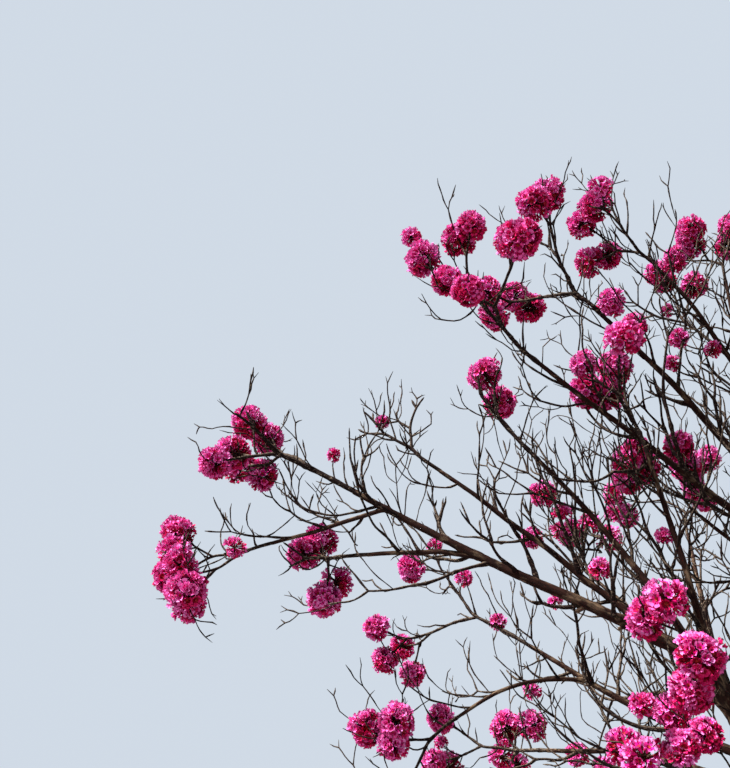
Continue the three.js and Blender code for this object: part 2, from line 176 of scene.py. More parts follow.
# %% The named sizes of the trunk and the limbs
TRUNK_HEIGHT = 3.27
TRUNK_LEAN, TRUNK_LEAN_AZIMUTH = 0.13, 212
TRUNK_BOW = 0.055
TRUNK_STEPS = 9
TRUNK_SIZES = [
    (0, 0.158), (0.09, 0.134), (0.24, 0.116), (0.6, 0.107), (1.3, 0.101),
    (2.1, 0.095), (2.8, 0.09), (3.08, 0.092), (3.2, 0.08), (TRUNK_HEIGHT, 0.058),
]
ROOT_LOBES, ROOT_LOBE_DEPTH, ROOT_LOBE_HEIGHT = 5, 0.16, 0.26
LIMBS = {
    "west_stem": ("trunk", 1, (221, 24), 0.58, (0, 0), (0.047, 0.040)),
    "leader": ("trunk", 1, (303, 64), 1.75, (6, 13), (0.054, 0.027)),
    "east_stem": ("trunk", 0.98, (12, 40), 0.7, (0, 8), (0.045, 0.036)),
    "north_stem": ("trunk", 0.955, (82, 50), 0.75, (0, 8), (0.042, 0.032)),
    "west_bough": ("west_stem", 1, (181, 19), 1.74, (3, 3), (0.032, 0.014)),
    "west_low_limb": ("west_bough", 0.62, (167, 7), 0.53, (-6, -8), (0.014, 0.010)),
    "west_tip_limb": ("west_bough", 0.9, (158, -13), 0.58, (4, -4), (0.012, 0.009)),
    "west_high_limb": ("west_bough", 0.12, (188, 37), 1.24, (-2, -7), (0.019, 0.010)),
    "southwest_limb": ("west_stem", 0.97, (201, 54), 1.17, (-11, -15), (0.021, 0.011)),
    "southwest_high_limb": ("west_stem", 0.8, (236, 64), 1.06, (-10, -6), (0.020, 0.011)),
    "southwest_bough": ("leader", 0.55, (202, 24), 1.62, (2, -11), (0.024, 0.011)),
    "south_bough": ("leader", 0.62, (212, 43), 1.45, (-10, -15), (0.024, 0.012)),
    "south_high_limb": ("leader", 0.77, (227, 52), 1.35, (-22, -18), (0.020, 0.010)),
    "south_top_limb": ("south_high_limb", 0.45, (255, 79), 0.68, (0, -2), (0.013, 0.009)),
    "northwest_bough": ("trunk", 0.985, (154, 30), 1.27, (5, 4), (0.026, 0.011)),
    "northwest_low_limb": ("northwest_bough", 0.72, (172, 2), 0.7, (6, -44), (0.012, 0.009)),
    "north_low_bough": ("trunk", 0.94, (137, 33), 1.25, (-5, -26), (0.024, 0.011)),
    "near_limb": ("trunk", 0.955, (238, 12), 0.64, (8, 6), (0.018, 0.011)),
    "low_limb": ("trunk", 0.925, (192, 12), 0.34, (0, 5), (0.015, 0.009)),
    "east_bough": ("east_stem", 1, (3, 24), 1.35, (-8, 4), (0.030, 0.012)),
    "east_high_limb": ("east_stem", 0.88, (328, 54), 1.4, (-8, -6), (0.024, 0.011)),
    "northeast_bough": ("east_stem", 0.75, (48, 32), 1.35, (6, -8), (0.024, 0.011)),
    "north_bough": ("north_stem", 1, (92, 26), 1.25, (6, -6), (0.026, 0.011)),
    "north_high_limb": ("north_stem", 0.88, (74, 71), 1.65, (-8, -8), (0.024, 0.011)),
    "northwest_high_limb": ("north_stem", 0.76, (144, 58), 1.1, (8, -6), (0.020, 0.011)),
    "inner_limb": ("leader", 0.46, (176, 42), 0.56, (-6, 6), (0.015, 0.009)),
    "southeast_bough": ("leader", 0.3, (322, 24), 1.5, (6, 4), (0.025, 0.011)),
    "south_low_limb": ("leader", 0.42, (268, 28), 1.15, (-6, -6), (0.019, 0.010)),
    "top_west_limb": ("leader", 1, (165, 66), 0.75, (-10, -4), (0.020, 0.010)),
    "top_east_limb": ("leader", 0.97, (48, 44), 1.2, (10, 4), (0.020, 0.010)),
    "top_south_limb": ("leader", 0.9, (285, 50), 0.9, (6, 2), (0.019, 0.010)),
}
LIMB_STEPS = 6
LIMB_WANDER = 3
FIRST_LIMB_SEED = 101
LIMB_TAPER = 0.85


# %% Grow the lines of the trunk and the limbs
def trunk_radius(height):
    heights, radii = zip(*TRUNK_SIZES)
    return float(np.interp(height, heights, radii))


def trunk_point(height):
    share = height / TRUNK_HEIGHT
    lean = heading(TRUNK_LEAN_AZIMUTH, 0) * TRUNK_LEAN * share
    bow = heading(TRUNK_LEAN_AZIMUTH + 90, 0) * TRUNK_BOW * math.sin(math.pi * share)
    point = lean + bow
    point[2] = height
    return point


def along(points, share):
    place = share * (len(points) - 1)
    step = min(int(place), len(points) - 2)
    return points[step] + (points[step + 1] - points[step]) * (place - step)


def limb_lines():
    heights = [TRUNK_HEIGHT * step / TRUNK_STEPS for step in range(TRUNK_STEPS + 1)]
    grown = {"trunk": ([trunk_point(h) for h in heights], [trunk_radius(h) for h in heights])}
    for index, (name, limb) in enumerate(LIMBS.items()):
        parent, at, (azimuth, pitch), length, (turn, lift), (base, tip) = limb
        dice = Dice(FIRST_LIMB_SEED + index)
        points, radii = [along(grown[parent][0], at)], [base]
        for step in range(LIMB_STEPS):
            share = (step + 0.5) / LIMB_STEPS
            a = azimuth + turn * share + LIMB_WANDER * dice.swing()
            p = pitch + lift * share + LIMB_WANDER * dice.swing()
            points.append(points[-1] + heading(a, p) * length / LIMB_STEPS)
            radii.append(base + (tip - base) * ((step + 1) / LIMB_STEPS) ** LIMB_TAPER)
        grown[name] = (points, radii)
    return grown


lines = limb_lines()
camera_place = place_camera(lines["trunk"][0][-1])
print(len(lines) - 1, "limbs grown; camera at", [round(v, 2) for v in camera_place])

# %% [markdown]
# ## The masses of twigs and blossom
# Each limb ends in a mass: a stem that forks again and again and flowers at its tips. A mass
# keeps to its own space, which ends where its neighbours' begin, and stays clear of every limb.
# Twigs could be scattered and sorted out by hand, but this rule skips a shoot that would break
# either promise, so masses never tangle.

# %% The named sizes of the masses
MASSES = {
    "west_bough": (28390, 0.72, 0.75, 0.2),
    "west_tip_limb": (46927, 0.48, 0.5, -0.1),
    "west_low_limb": (50886, 0.4, 0.9, 0.1),
    "west_high_limb": (381, 0.52, 0.35, 0.3),
    "southwest_limb": (28131, 0.6, 0.45, 0.3),
    "southwest_high_limb": (48740, 0.56, 0.7, 0.3),
    "southwest_bough": (15921, 0.8, 0.95, 0.3),
    "south_bough": (34902, 0.7, 0.95, 0.3),
    "south_high_limb": (60025, 0.56, 0.6, 0.3),
    "south_top_limb": (14108, 0.46, 0.7, 0.3),
    "northwest_bough": (50812, 0.8, 0.8, -0.1),
    "northwest_low_limb": (60728, 0.44, 0.8, 0),
    "north_low_bough": (65538, 0.64, 0.85, 0.2),
    "near_limb": (70274, 0.62, 0.85, 0.2),
    "low_limb": (51367, 0.38, 0.7, 0),
    "inner_limb": (2823, 0.42, 0.75, 0.3),
    "east_bough": (1003, 0.82, 0.65, 0.3),
    "east_high_limb": (499, 0.72, 0.65, 0.3),
    "northeast_bough": (3614, 0.8, 0.65, 0.3),
    "north_bough": (41451, 0.76, 0.6, 0.3),
    "north_high_limb": (1852, 0.72, 0.65, 0.3),
    "northwest_high_limb": (73271, 0.64, 0.5, 0.3),
    "southeast_bough": (4554, 0.8, 0.65, 0.3),
    "south_low_limb": (5670, 0.64, 0.65, 0.2),
    "top_west_limb": (40637, 0.6, 0.5, 0.3),
    "top_east_limb": (3041, 0.7, 0.65, 0.3),
    "top_south_limb": (7520, 0.66, 0.65, 0.3),
}
SHOOT_SHARES = (0.4, 0.3, 0.22, 0.15)
SHOOT_LENGTHS = (0.75, 1.25)
STRAIGHT_LEVEL = 2
SHOOT_BEND = 16
SHOOT_TAPER = 0.95
FORK_TAPER = 0.8
FORK_SPREAD = 38
FORK_SPREADS = (0.8, 1.2)
FORK_EVENNESS = 0.55
FORK_TWISTS = (60, 120)
STEM_SHARE = 0.95
BLOOM_RADIUS = 0.094
BLOOM_VARIETY = 0.28
BLOOM_SEAT = 0.62
SEAM = 0.0003
CLEARANCE = 0.005
BLOOM_STRETCH = 0.001
PARALLEL = 1e-15


# %% Tell how much room a shoot has
def mass_spaces():
    spaces = {}
    for name, (_, reach, _, _) in MASSES.items():
        points = lines[name][0]
        direction = unit(points[-1] - points[-2])
        spaces[name] = (points[-1], direction, points[-1] + direction * reach / 2, reach / 2)
    return spaces


spaces = mass_spaces()
space_names = list(spaces)
space_middles = np.array([spaces[name][2] for name in space_names])
space_sizes = np.array([spaces[name][3] for name in space_names])
stretch_owner, stretch_start, stretch_end, stretch_radius = [], [], [], []
for name, (points, radii) in lines.items():
    for step in range(len(points) - 1):
        stretch_owner.append((name, step == len(points) - 2))
        stretch_start.append(points[step])
        stretch_end.append(points[step + 1])
        stretch_radius.append(max(radii[step], radii[step + 1]))
stretch_start, stretch_end = np.array(stretch_start), np.array(stretch_end)
stretch_radius = np.array(stretch_radius)


def room_in_space(point, name):
    """How far a point lies inside the space of its own mass."""
    own = space_names.index(name)
    powers = ((point - space_middles) ** 2).sum(1) - space_sizes ** 2
    apart = 2 * np.sqrt(((space_middles - space_middles[own]) ** 2).sum(1))
    others = np.arange(len(space_names)) != own
    return float(((powers - powers[own])[others] / apart[others]).min())


def room_from_limbs(a, b, skipped=""):
    """The smallest gap between the line from a to b and the skin of any limb."""
    u, v, w = b - a, stretch_end - stretch_start, a - stretch_start
    uu, uv, vv, uw, vw = u @ u, v @ u, (v * v).sum(1), w @ u, (v * w).sum(1)
    skew = uu * vv - uv * uv
    safe = np.where(skew > PARALLEL, skew, 1)
    s = np.where(skew > PARALLEL, np.clip((uv * vw - vv * uw) / safe, 0, 1), 0)
    t = (uv * s + vw) / vv
    s = np.where(t < 0, np.clip(-uw / uu, 0, 1), np.where(t > 1, np.clip((uv - uw) / uu, 0, 1), s))
    t = np.clip(t, 0, 1)
    gaps = a + s[:, None] * u - stretch_start - t[:, None] * v
    room = np.sqrt((gaps ** 2).sum(1)) - stretch_radius
    kept = [owner != (skipped, True) for owner in stretch_owner]
    return float(room[kept].min())


# %% Grow every mass
def grow_mass(name):
    seed, reach, in_flower, rise = MASSES[name]
    dice = Dice(seed)
    twigs = []

    def fits(a, b, radius, skipped=""):
        inside = min(room_in_space(a, name), room_in_space(b, name)) > radius + SEAM
        return inside and room_from_limbs(a, b, skipped) > radius + CLEARANCE

    def end_in_bloom(twig, direction):
        radius = BLOOM_RADIUS * (1 - BLOOM_VARIETY * dice.roll() ** 2)
        centre = twig["points"][-1] + direction * radius * BLOOM_SEAT
        blooms = dice.roll() < in_flower
        if blooms and fits(centre, centre + direction * BLOOM_STRETCH, radius):
            twig["bloom"] = (centre, radius, direction)

    def shoot(twig, direction, radius, level, twist):
        length = reach * SHOOT_SHARES[level] * dice.pick(*SHOOT_LENGTHS)
        bend = SHOOT_BEND * dice.swing()
        bent = turned(direction, square_to(direction, 360 * dice.roll()), bend)
        bent[2] += rise * dice.roll()
        bent = unit(bent)
        start = twig["points"][-1]
        middle = start + direction * length / 2
        tip = middle + bent * length / 2
        skipped = name if level == 0 else ""
        if not fits(start, middle, radius, skipped) or not fits(middle, tip, radius):
            return False
        if level < STRAIGHT_LEVEL:
            twig["points"].append(middle)
            twig["radii"].append(radius * SHOOT_TAPER)
        twig["points"].append(tip)
        twig["radii"].append(radius * SHOOT_TAPER ** 2)
        forks = 0
        if level < len(SHOOT_SHARES) - 1:
            strong = -1 if dice.roll() < 0.5 else 1
            axis = square_to(bent, twist)
            for side in (strong, -strong):
                evenness = FORK_EVENNESS if side == strong else 1
                spread = FORK_SPREAD * evenness * dice.pick(*FORK_SPREADS)
                onward = turned(bent, axis, side * spread)
                thin = radius * FORK_TAPER
                root = {"points": [tip - bent * radius], "radii": [thin], "bloom": None}
                line = twig if side == strong else root
                turn = twist + dice.pick(*FORK_TWISTS)
                if not shoot(line, onward, thin, level + 1, turn):
                    continue
                forks += 1
                if line is root:
                    twigs.append(root)
        if forks == 0:
            end_in_bloom(twig, bent)
        return True

    tip, direction, _, _ = spaces[name]
    radius = STEM_SHARE * lines[name][1][-1]
    stem = {"points": [tip + direction * SEAM], "radii": [radius], "bloom": None}
    if shoot(stem, direction, radius, 0, 180 * dice.roll()):
        twigs.append(stem)
    return twigs


masses = {name: grow_mass(name) for name in MASSES}
heads = [twig["bloom"] for twigs in masses.values() for twig in twigs if twig["bloom"]]
print(sum(len(twigs) for twigs in masses.values()), "twig lines and", len(heads), "flower heads")


# %% [markdown]
# ## Smooth lines
# The solids bend at their points, but living wood doesn't. A curve that passes through every
# point of a line, marked off at even steps, gives rings of bark an even spacing. It runs through
# the same points as the solids, so nothing moves away from its place.

# %% Smooth a line and mark it off at even steps
CURVE_STEPS = 10
NEARLY_ALONG = 0.8


def smooth(points, radii, spacing):
    points = np.array(points)
    around = np.vstack([2 * points[0] - points[1], points, 2 * points[-1] - points[-2]])
    fine, sizes = [], []
    for step in range(len(points) - 1):
        a, b, c, d = around[step:step + 4]
        for share in np.linspace(0, 1, CURVE_STEPS, endpoint=False):
            bend = (2 * a - 5 * b + 4 * c - d) * share ** 2 + (3 * b - a - 3 * c + d) * share ** 3
            fine.append(b + ((c - a) * share + bend) / 2)
            sizes.append(between(radii[step], radii[step + 1], share))
    fine, sizes = np.array(fine + [points[-1]]), np.array(sizes + [radii[-1]])
    gone = np.concatenate([[0], np.cumsum(np.sqrt((np.diff(fine, axis=0) ** 2).sum(1)))])
    marks = np.linspace(0, gone[-1], max(2, round(gone[-1] / spacing)) + 1)
    centres = np.column_stack([np.interp(marks, gone, fine[:, axis]) for axis in range(3)])
    return centres, np.interp(marks, gone, sizes), marks


def square_frames(centres):
    """Two directions square to a line at each mark, carried along it without a twist."""
    onward = np.gradient(centres, axis=0)
    onward /= np.sqrt((onward ** 2).sum(1))[:, None]
    side = np.array([1.0, 0, 0]) if abs(onward[0][0]) < NEARLY_ALONG else np.array([0, 1.0, 0])
    sides = []
    for direction in onward:
        side = unit(side - direction * (side @ direction))
        sides.append(side)
    return np.array(sides), np.cross(onward, sides)


# %% [markdown]
# ## Trunk and boughs
# The bark of this kind is thin, brown and cracked lengthwise, and each bough swells where it
# leaves its parent. The wood could be sculpted, or skinned and smoothed, but rings of points give
# full control of size: the rings keep the true taper, every point near a fork is pushed out by a
# fillet that fades with its distance from the other limb, and cracks and knobs are pressed in. A
# limb that goes on from its parent's very tip starts inside the parent, so that no knuckle shows.

# %% The named sizes of the bark
BARK_RING_GAP = 0.013
BARK_FACE_WIDTH = 0.009
FEWEST_SIDES, MOST_SIDES = 9, 72
FILLET_SHARE = 1.7
KNOB_SCALE, KNOB_HEIGHT = 0.35, 0.09
CRACK_SCALE, FINE_CRACK_SCALE, FINE_CRACK_SHIFT = 34, 75, (5, 3, 1)
CRACK_WIDTH, CRACK_DEPTH, FINE_CRACK_SHARE = 0.2, 0.045, 0.5
WAVER_SCALE, WAVER = 9, 0.012
GRAIN_STRETCH = 0.16
GRAIN_SHIFT = np.array([3.1, 1.7, 2.3])
ROOT_LOBE_FADE = 1.3
DOME_RINGS, DOME_RISE = ((0.86, 0.35), (0.5, 0.62)), 0.7
SPLINTER_SCALE, SPLINTER_LENGTH, BREAK_DEPTH = 160, 1.6, 0.35
HIDDEN_START, HIDDEN_SHARE, TURN_SHARE = 0.62, 0.84, 1.03


def goes_on(name):
    """Whether a limb goes on from the very tip of another limb."""
    return name in LIMBS and LIMBS[name][0] != "trunk" and LIMBS[name][1] == 1


def related(name):
    """A limb's parent, its children and the limbs that leave the same parent."""
    if name in stubs:
        return {stub_parents[name]}
    parent = LIMBS[name][0] if name in LIMBS else None
    kin = {other for other in LIMBS if LIMBS[other][0] in (name, parent)}
    kin -= {other for other in kin if LIMBS[other][0] == name and goes_on(other)}
    return (kin | {None if goes_on(name) else parent}) - {name, None}


def wood_line(name):
    """The points and radii to skin; a limb that goes on starts inside its parent."""
    points, radii = stubs[name] if name in stubs else lines[name]
    if goes_on(name):
        parent_points, parent_radii = lines[LIMBS[name][0]]
        hidden = along(parent_points, HIDDEN_START)
        points = [hidden] + points
        radii = [HIDDEN_SHARE * parent_radii[-1], TURN_SHARE * parent_radii[-1]] + radii[1:]
    return points, radii


# %% [markdown]
# Dead side limbs break off and leave short stubs with a splintered end. They could be drawn one
# by one, but a few rolls along each limb give them a place, a lean and a length that never
# repeat. A stub is skipped where it would run into another limb.

# %% Leave a few broken stubs on the boughs
STUBS_PER_METRE = 1.3
STUB_PLACES = (0.15, 0.8)
STUB_SHARES = (0.3, 0.55)
STUB_LENGTHS = (1.2, 4)
STUB_ANGLES = (38, 70)
STUB_STEPS, STUB_TAPER = 4, 0.06
STUB_LOOK_AHEAD, STUB_ROOM = 0.1, 3
FIRST_STUB_SEED, STUB_SEED_GAP = 5020, 17
stubs, stub_parents = {}, {}
for index, name in enumerate(LIMBS):
    points, radii = lines[name]
    dice = Dice(FIRST_STUB_SEED + STUB_SEED_GAP * index)
    long = sum(float(np.linalg.norm(b - a)) for a, b in zip(points, points[1:]))
    for number in range(round(STUBS_PER_METRE * long * 2 * dice.roll())):
        share = dice.pick(*STUB_PLACES)
        angle = dice.pick(*STUB_ANGLES)
        spin = 360 * dice.roll()
        start = along(points, share)
        width = float(np.interp(share, np.linspace(0, 1, len(radii)), radii))
        aim = unit(along(points, share + STUB_LOOK_AHEAD) - start)
        aim = turned(aim, square_to(aim, spin), angle)
        radius = width * dice.pick(*STUB_SHARES)
        tip = start + aim * (width + 2 * radius * dice.pick(*STUB_LENGTHS))
        if room_from_limbs(start + aim * (width + STUB_ROOM * radius), tip) < radius:
            continue
        label = name + "_stub_" + str(number)
        stub_parents[label] = name
        steps = range(STUB_STEPS + 1)
        stubs[label] = ([start + (tip - start) * step / STUB_STEPS for step in steps],
                        [radius * (1 - STUB_TAPER * step) for step in steps])
print(len(stubs), "broken stubs")


# %% Push the wood out into a fillet near each fork
def fillet(points, own_radii, name):
    swell = np.zeros(len(points))
    for other in related(name):
        line, radii = lines[other]
        for step in range(len(line) - 1):
            along_it = line[step + 1] - line[step]
            share = np.clip((points - line[step]) @ along_it / (along_it @ along_it), 0, 1)
            radius = between(radii[step], radii[step + 1], share)
            gap = points - line[step] - share[:, None] * along_it
            gap = np.abs(np.sqrt((gap ** 2).sum(1)) - radius)
            width = FILLET_SHARE * np.minimum(own_radii, radius)
            swell = np.maximum(swell, width / 4 * (np.maximum(width - gap, 0) / width) ** 2)
    return swell


# %% Press cracks and knobs into the bark
BARK_SEED = 7
noise.seed_set(BARK_SEED)


def crack_depth(value):
    return max(0, 1 - abs(value) / CRACK_WIDTH)


def bark_relief(place, radius):
    place = Vector(place)
    knob = noise.noise(place * KNOB_SCALE / radius) * KNOB_HEIGHT
    wavy = place + noise.noise_vector(place * WAVER_SCALE) * WAVER
    cracks = crack_depth(noise.noise(wavy * CRACK_SCALE))
    fine = crack_depth(noise.noise(wavy * FINE_CRACK_SCALE + Vector(FINE_CRACK_SHIFT)))
    return radius * (knob - CRACK_DEPTH * (cracks + FINE_CRACK_SHARE * fine))


# %% Close the ends of a limb
bark_points, bark_faces, bark_places, smooth_lines = [], [], [], {}


def join_rings(low, sides):
    """Faces from one ring of points to the next."""
    for side in range(sides):
        turn = (side + 1) % sides
        bark_faces.append((low + side, low + turn, low + turn + sides, low + side + sides))


def close_tip(low, sides, point):
    """A fan of faces from a ring to one point."""
    bark_points.append(point)
    bark_places.append(bark_places[low])
    for side in range(sides):
        bark_faces.append((low + side, low + (side + 1) % sides, len(bark_points) - 1))


def close_ends(first, sides, centres, radius, broken):
    """A flat cut at the start, and a low dome or a splintered hollow at the tip."""
    bark_faces.append(tuple(first + side for side in reversed(range(sides))))
    low, tip = first + (len(centres) - 1) * sides, centres[-1]
    onward = unit(centres[-1] - centres[-2])
    if broken:
        close_tip(low, sides, tip - onward * radius * BREAK_DEPTH)
        return
    rim = np.array(bark_points[low:low + sides])
    for share, rise in DOME_RINGS:
        bark_points.extend(tip + (rim - tip) * share + onward * radius * rise)
        bark_places.extend(bark_places[low:low + sides])
        join_rings(low, sides)
        low += sides
    close_tip(low, sides, tip + onward * radius * DOME_RISE)


# %% Skin every limb with rings of bark
def ring_line(name):
    """The middle, radius and mark of each ring of a limb, and two directions square to it."""
    if name != "trunk":
        centres, sizes, marks = smooth(*wood_line(name), BARK_RING_GAP)
        return centres, sizes, marks, *square_frames(centres)
    heights = np.linspace(0, TRUNK_HEIGHT, round(TRUNK_HEIGHT / BARK_RING_GAP) + 1)
    centres = np.array([trunk_point(h) for h in heights])
    sizes = np.array([trunk_radius(h) for h in heights])
    level = [np.tile(axis, (len(heights), 1)) for axis in ([1.0, 0, 0], [0, 1.0, 0])]
    return centres, sizes, heights, *level


def skin_limb(name, offset):
    centres, sizes, marks, across, beside = ring_line(name)
    if name in lines:
        smooth_lines[name] = (centres, sizes, marks)
    sides = round(2 * math.pi * sizes.mean() / BARK_FACE_WIDTH)
    sides = int(np.clip(sides, FEWEST_SIDES, MOST_SIDES))
    angles = np.arange(sides) * 2 * math.pi / sides
    cosine, sine = np.cos(angles)[None], np.sin(angles)[None]
    outward = cosine[..., None] * across[:, None] + sine[..., None] * beside[:, None]
    reach = np.repeat(sizes[:, None], sides, 1)
    if name == "trunk":
        lobes = ROOT_LOBE_DEPTH * np.clip(1 - marks / ROOT_LOBE_HEIGHT, 0, 1) ** ROOT_LOBE_FADE
        reach *= 1 + lobes[:, None] * np.cos(ROOT_LOBES * angles)[None]
    ring = centres[:, None] + outward * reach[..., None]
    reach += fillet(ring.reshape(-1, 3), reach.ravel(), name).reshape(reach.shape)
    grain = np.repeat(marks[:, None] * GRAIN_STRETCH, sides, 1)
    places = np.stack([cosine * reach, sine * reach, grain], -1) + offset
    spots = zip(places.reshape(-1, 3), np.repeat(sizes, sides))
    relief = np.reshape([bark_relief(place, radius) for place, radius in spots], reach.shape)
    ring = centres[:, None] + outward * (reach + relief)[..., None]
    if name in stubs:
        splinters = np.array([noise.noise(Vector(place) * SPLINTER_SCALE) for place in places[-1]])
        ring[-1] += unit(centres[-1] - centres[-2]) * sizes[-1] * splinters[:, None] * SPLINTER_LENGTH
    if name == "trunk":
        ring[0, :, 2] = 0
    first = len(bark_points)
    bark_points.extend(ring.reshape(-1, 3))
    bark_places.extend(places.reshape(-1, 3))
    for step in range(len(centres) - 1):
        join_rings(first + step * sides, sides)
    close_ends(first, sides, centres, sizes[-1], name in stubs)


for index, name in enumerate([*lines, *stubs]):
    skin_limb(name, GRAIN_SHIFT * index)
print(len(bark_points), "points of bark")


# %% Join the rings into one mesh
def new_mesh(name, points, edges=(), faces=()):
    mesh = bpy.data.meshes.new(name)
    mesh.from_pydata([tuple(point) for point in points], edges, faces)
    return mesh


def mark_points(mesh, label, kind, values):
    """Give each point of a mesh a value of its own."""
    key = "vector" if kind == "FLOAT_VECTOR" else "value"
    mesh.attributes.new(label, kind, "POINT").data.foreach_set(key, np.ravel(values).tolist())


def triangles(piece):
    return sum(len(face.vertices) - 2 for face in piece.data.polygons)


bark_mesh = new_mesh("bark", bark_points, faces=bark_faces)
mark_points(bark_mesh, "bark_place", "FLOAT_VECTOR", bark_places)
bark_mesh.shade_smooth()
trunk_and_boughs = new_object("trunk_and_boughs", bark_mesh)
print("bark:", triangles(trunk_and_boughs), "triangles")

# %% [markdown]
# ## Side twigs
# The buds of this kind sit in opposite pairs, so side twigs leave a twig two by two, curve up to
# the light, fork once or twice and end in a pointed bud. Drawing each by hand would take days, and
# a hair system exports badly, so the seeded rolls grow them. A few carry a small late head of
# flowers.

# %% The named sizes of the side twigs
NODE_GAPS, LAST_NODE_GAP = (0.06, 0.12), 0.02
NODE_TURN, NODE_TURN_SPREAD = 90, 40
SIDE_ODDS = 0.55
SIDE_ANGLES = (34, 62)
SIDE_LENGTHS, SIDE_LENGTH_LEAN = (0.06, 0.22), 1.5
SIDE_RADIUS, SIDE_RADIUS_SHARE, SIDE_RADII = 0.0062, 0.75, (0.7, 1)
SIDE_STEPS, SIDE_STEP_SHARES = 3, (0.75, 1.25)
SIDE_WOBBLE, SIDE_LIFT = 20, 0.6
SIDE_TAPER, TIP_RADIUS = 0.8, 0.0031
SIDE_LEVELS, SHORTEST_FORKED = 2, 0.05
SIDE_FORK_ODDS = 0.75
SIDE_FORK_ANGLES, SIDE_FORK_SHARES = (18, 36), (0.35, 0.7)
BUD_START, BUD_SHARE = 0.6, 0.35
SPACE_OVERLAP = 0.03
LOWEST_TWIG = 2.2
LATE_HEAD_ODDS, LATE_HEAD_RADII = 0.045, (0.036, 0.058)


# %% Grow side twigs from a line
fine_twigs, late_heads = [], []


def wander(direction, wobble, lift, dice, level=0):
    """A direction that strays a little and rises to the light, less at each level."""
    direction = turned(direction, square_to(direction, 360 * dice.roll()), wobble * dice.roll())
    return unit(direction + np.array([0, 0, lift * dice.roll() / (level + 1)]))


def in_tree(point):
    inside = all(solid_low[axis] < point[axis] < solid_high[axis] for axis in range(3))
    return inside and point[2] > LOWEST_TWIG


def pointed(points, radii):
    """The same twig, drawn in to a bud over the last part of its end."""
    points, radii = list(points), list(radii)
    before = between(points[-2], points[-1], BUD_START)
    return points[:-1] + [before, points[-1]], radii + [BUD_SHARE * radii[-1]]


def side_twig(start, direction, length, radius, dice, level, owner):
    """One curved twig, which may fork at its end."""
    points, radii = [start], [radius]
    for step in range(SIDE_STEPS):
        direction = wander(direction, SIDE_WOBBLE, SIDE_LIFT, dice, level)
        stretch = direction * length / SIDE_STEPS * dice.pick(*SIDE_STEP_SHARES)
        points.append(points[-1] + stretch)
        radii.append(between(radius, TIP_RADIUS, (step + 1) / SIDE_STEPS * SIDE_TAPER))
    if not in_tree(points[-1]) or (owner and room_in_space(points[-1], owner) < -SPACE_OVERLAP):
        return False
    if room_from_limbs(points[1], points[-1]) < radii[1]:
        return False
    place, forks = len(fine_twigs), 0
    fine_twigs.append((points, radii))
    if level < SIDE_LEVELS and length > SHORTEST_FORKED:
        axis = square_to(direction, 360 * dice.roll())
        for side in (-1, 1):
            if dice.roll() < SIDE_FORK_ODDS:
                onward = turned(direction, axis, side * dice.pick(*SIDE_FORK_ANGLES))
                shorter = length * dice.pick(*SIDE_FORK_SHARES)
                forks += side_twig(points[-1], onward, shorter, radii[-1], dice, level + 1, owner)
    if forks == 0:
        fine_twigs[place] = pointed(points, radii)
    if forks == 0 and level < SIDE_LEVELS and dice.roll() < LATE_HEAD_ODDS:
        late_heads.append((points[-1], dice.pick(*LATE_HEAD_RADII), direction))
    return True


def side_twigs(centres, sizes, marks, dice, owner, gaps=NODE_GAPS):
    """Opposite pairs of side twigs at the nodes of a line."""
    gone = dice.pick(*gaps)
    twist = 360 * dice.roll()
    while gone < marks[-1] - LAST_NODE_GAP:
        at = int(np.searchsorted(marks, gone))
        direction = unit(centres[at] - centres[at - 1])
        axis = square_to(direction, twist)
        for side in (-1, 1):
            if dice.roll() < SIDE_ODDS:
                aim = turned(direction, axis, side * dice.pick(*SIDE_ANGLES))
                length = dice.pick(*SIDE_LENGTHS, lean=SIDE_LENGTH_LEAN)
                radius = min(SIDE_RADIUS, SIDE_RADIUS_SHARE * sizes[at]) * dice.pick(*SIDE_RADII)
                side_twig(centres[at], aim, length, radius, dice, 0, owner)
        twist += NODE_TURN + NODE_TURN_SPREAD * (dice.roll() - 0.5)
        gone += dice.pick(*gaps)


# %% [markdown]
# ## Small branches
# Along the outer part of a bough, small branches leave it left and right, fork in two again and
# again, and carry side twigs of their own. They could be more limbs in the list above, but there
# are hundreds of them, so they follow one rule that keeps them near the boughs and inside the
# crown. Each swells into a collar where it starts.

# %% The named sizes of the small branches
TWIG_STEP = 0.035
BARE_START, LAST_BRANCH_GAP = 0.2, 0.05
BRANCH_GAPS, BRANCH_NODE_GAPS = (0.08, 0.165), (0.09, 0.18)
BRANCH_TURN, BRANCH_TURN_SPREAD = 70, 50
BRANCH_LENGTHS, BRANCH_LENGTH_LEAN = (0.16, 0.44), 1.4
BRANCH_RADIUS, BRANCH_RADIUS_SHARE, BRANCH_RADII = 0.0118, 0.56, (0.65, 1)
BRANCH_STEPS, BRANCH_LEVELS = 4, 3
BRANCH_WOBBLE, BRANCH_LIFT = 15, 0.3
BRANCH_REACH = 0.36
BRANCH_TAPER, BRANCH_FORK_TAPER, BRANCH_END = 0.84, 0.82, 1.2
BRANCH_FORK_ANGLES, BRANCH_FORK_SHARES = (18, 40), (0.5, 0.95)
COLLAR_SWELL, COLLAR_REACH = 0.45, 1.5


# %% Grow small branches from a bough
small_branches = []


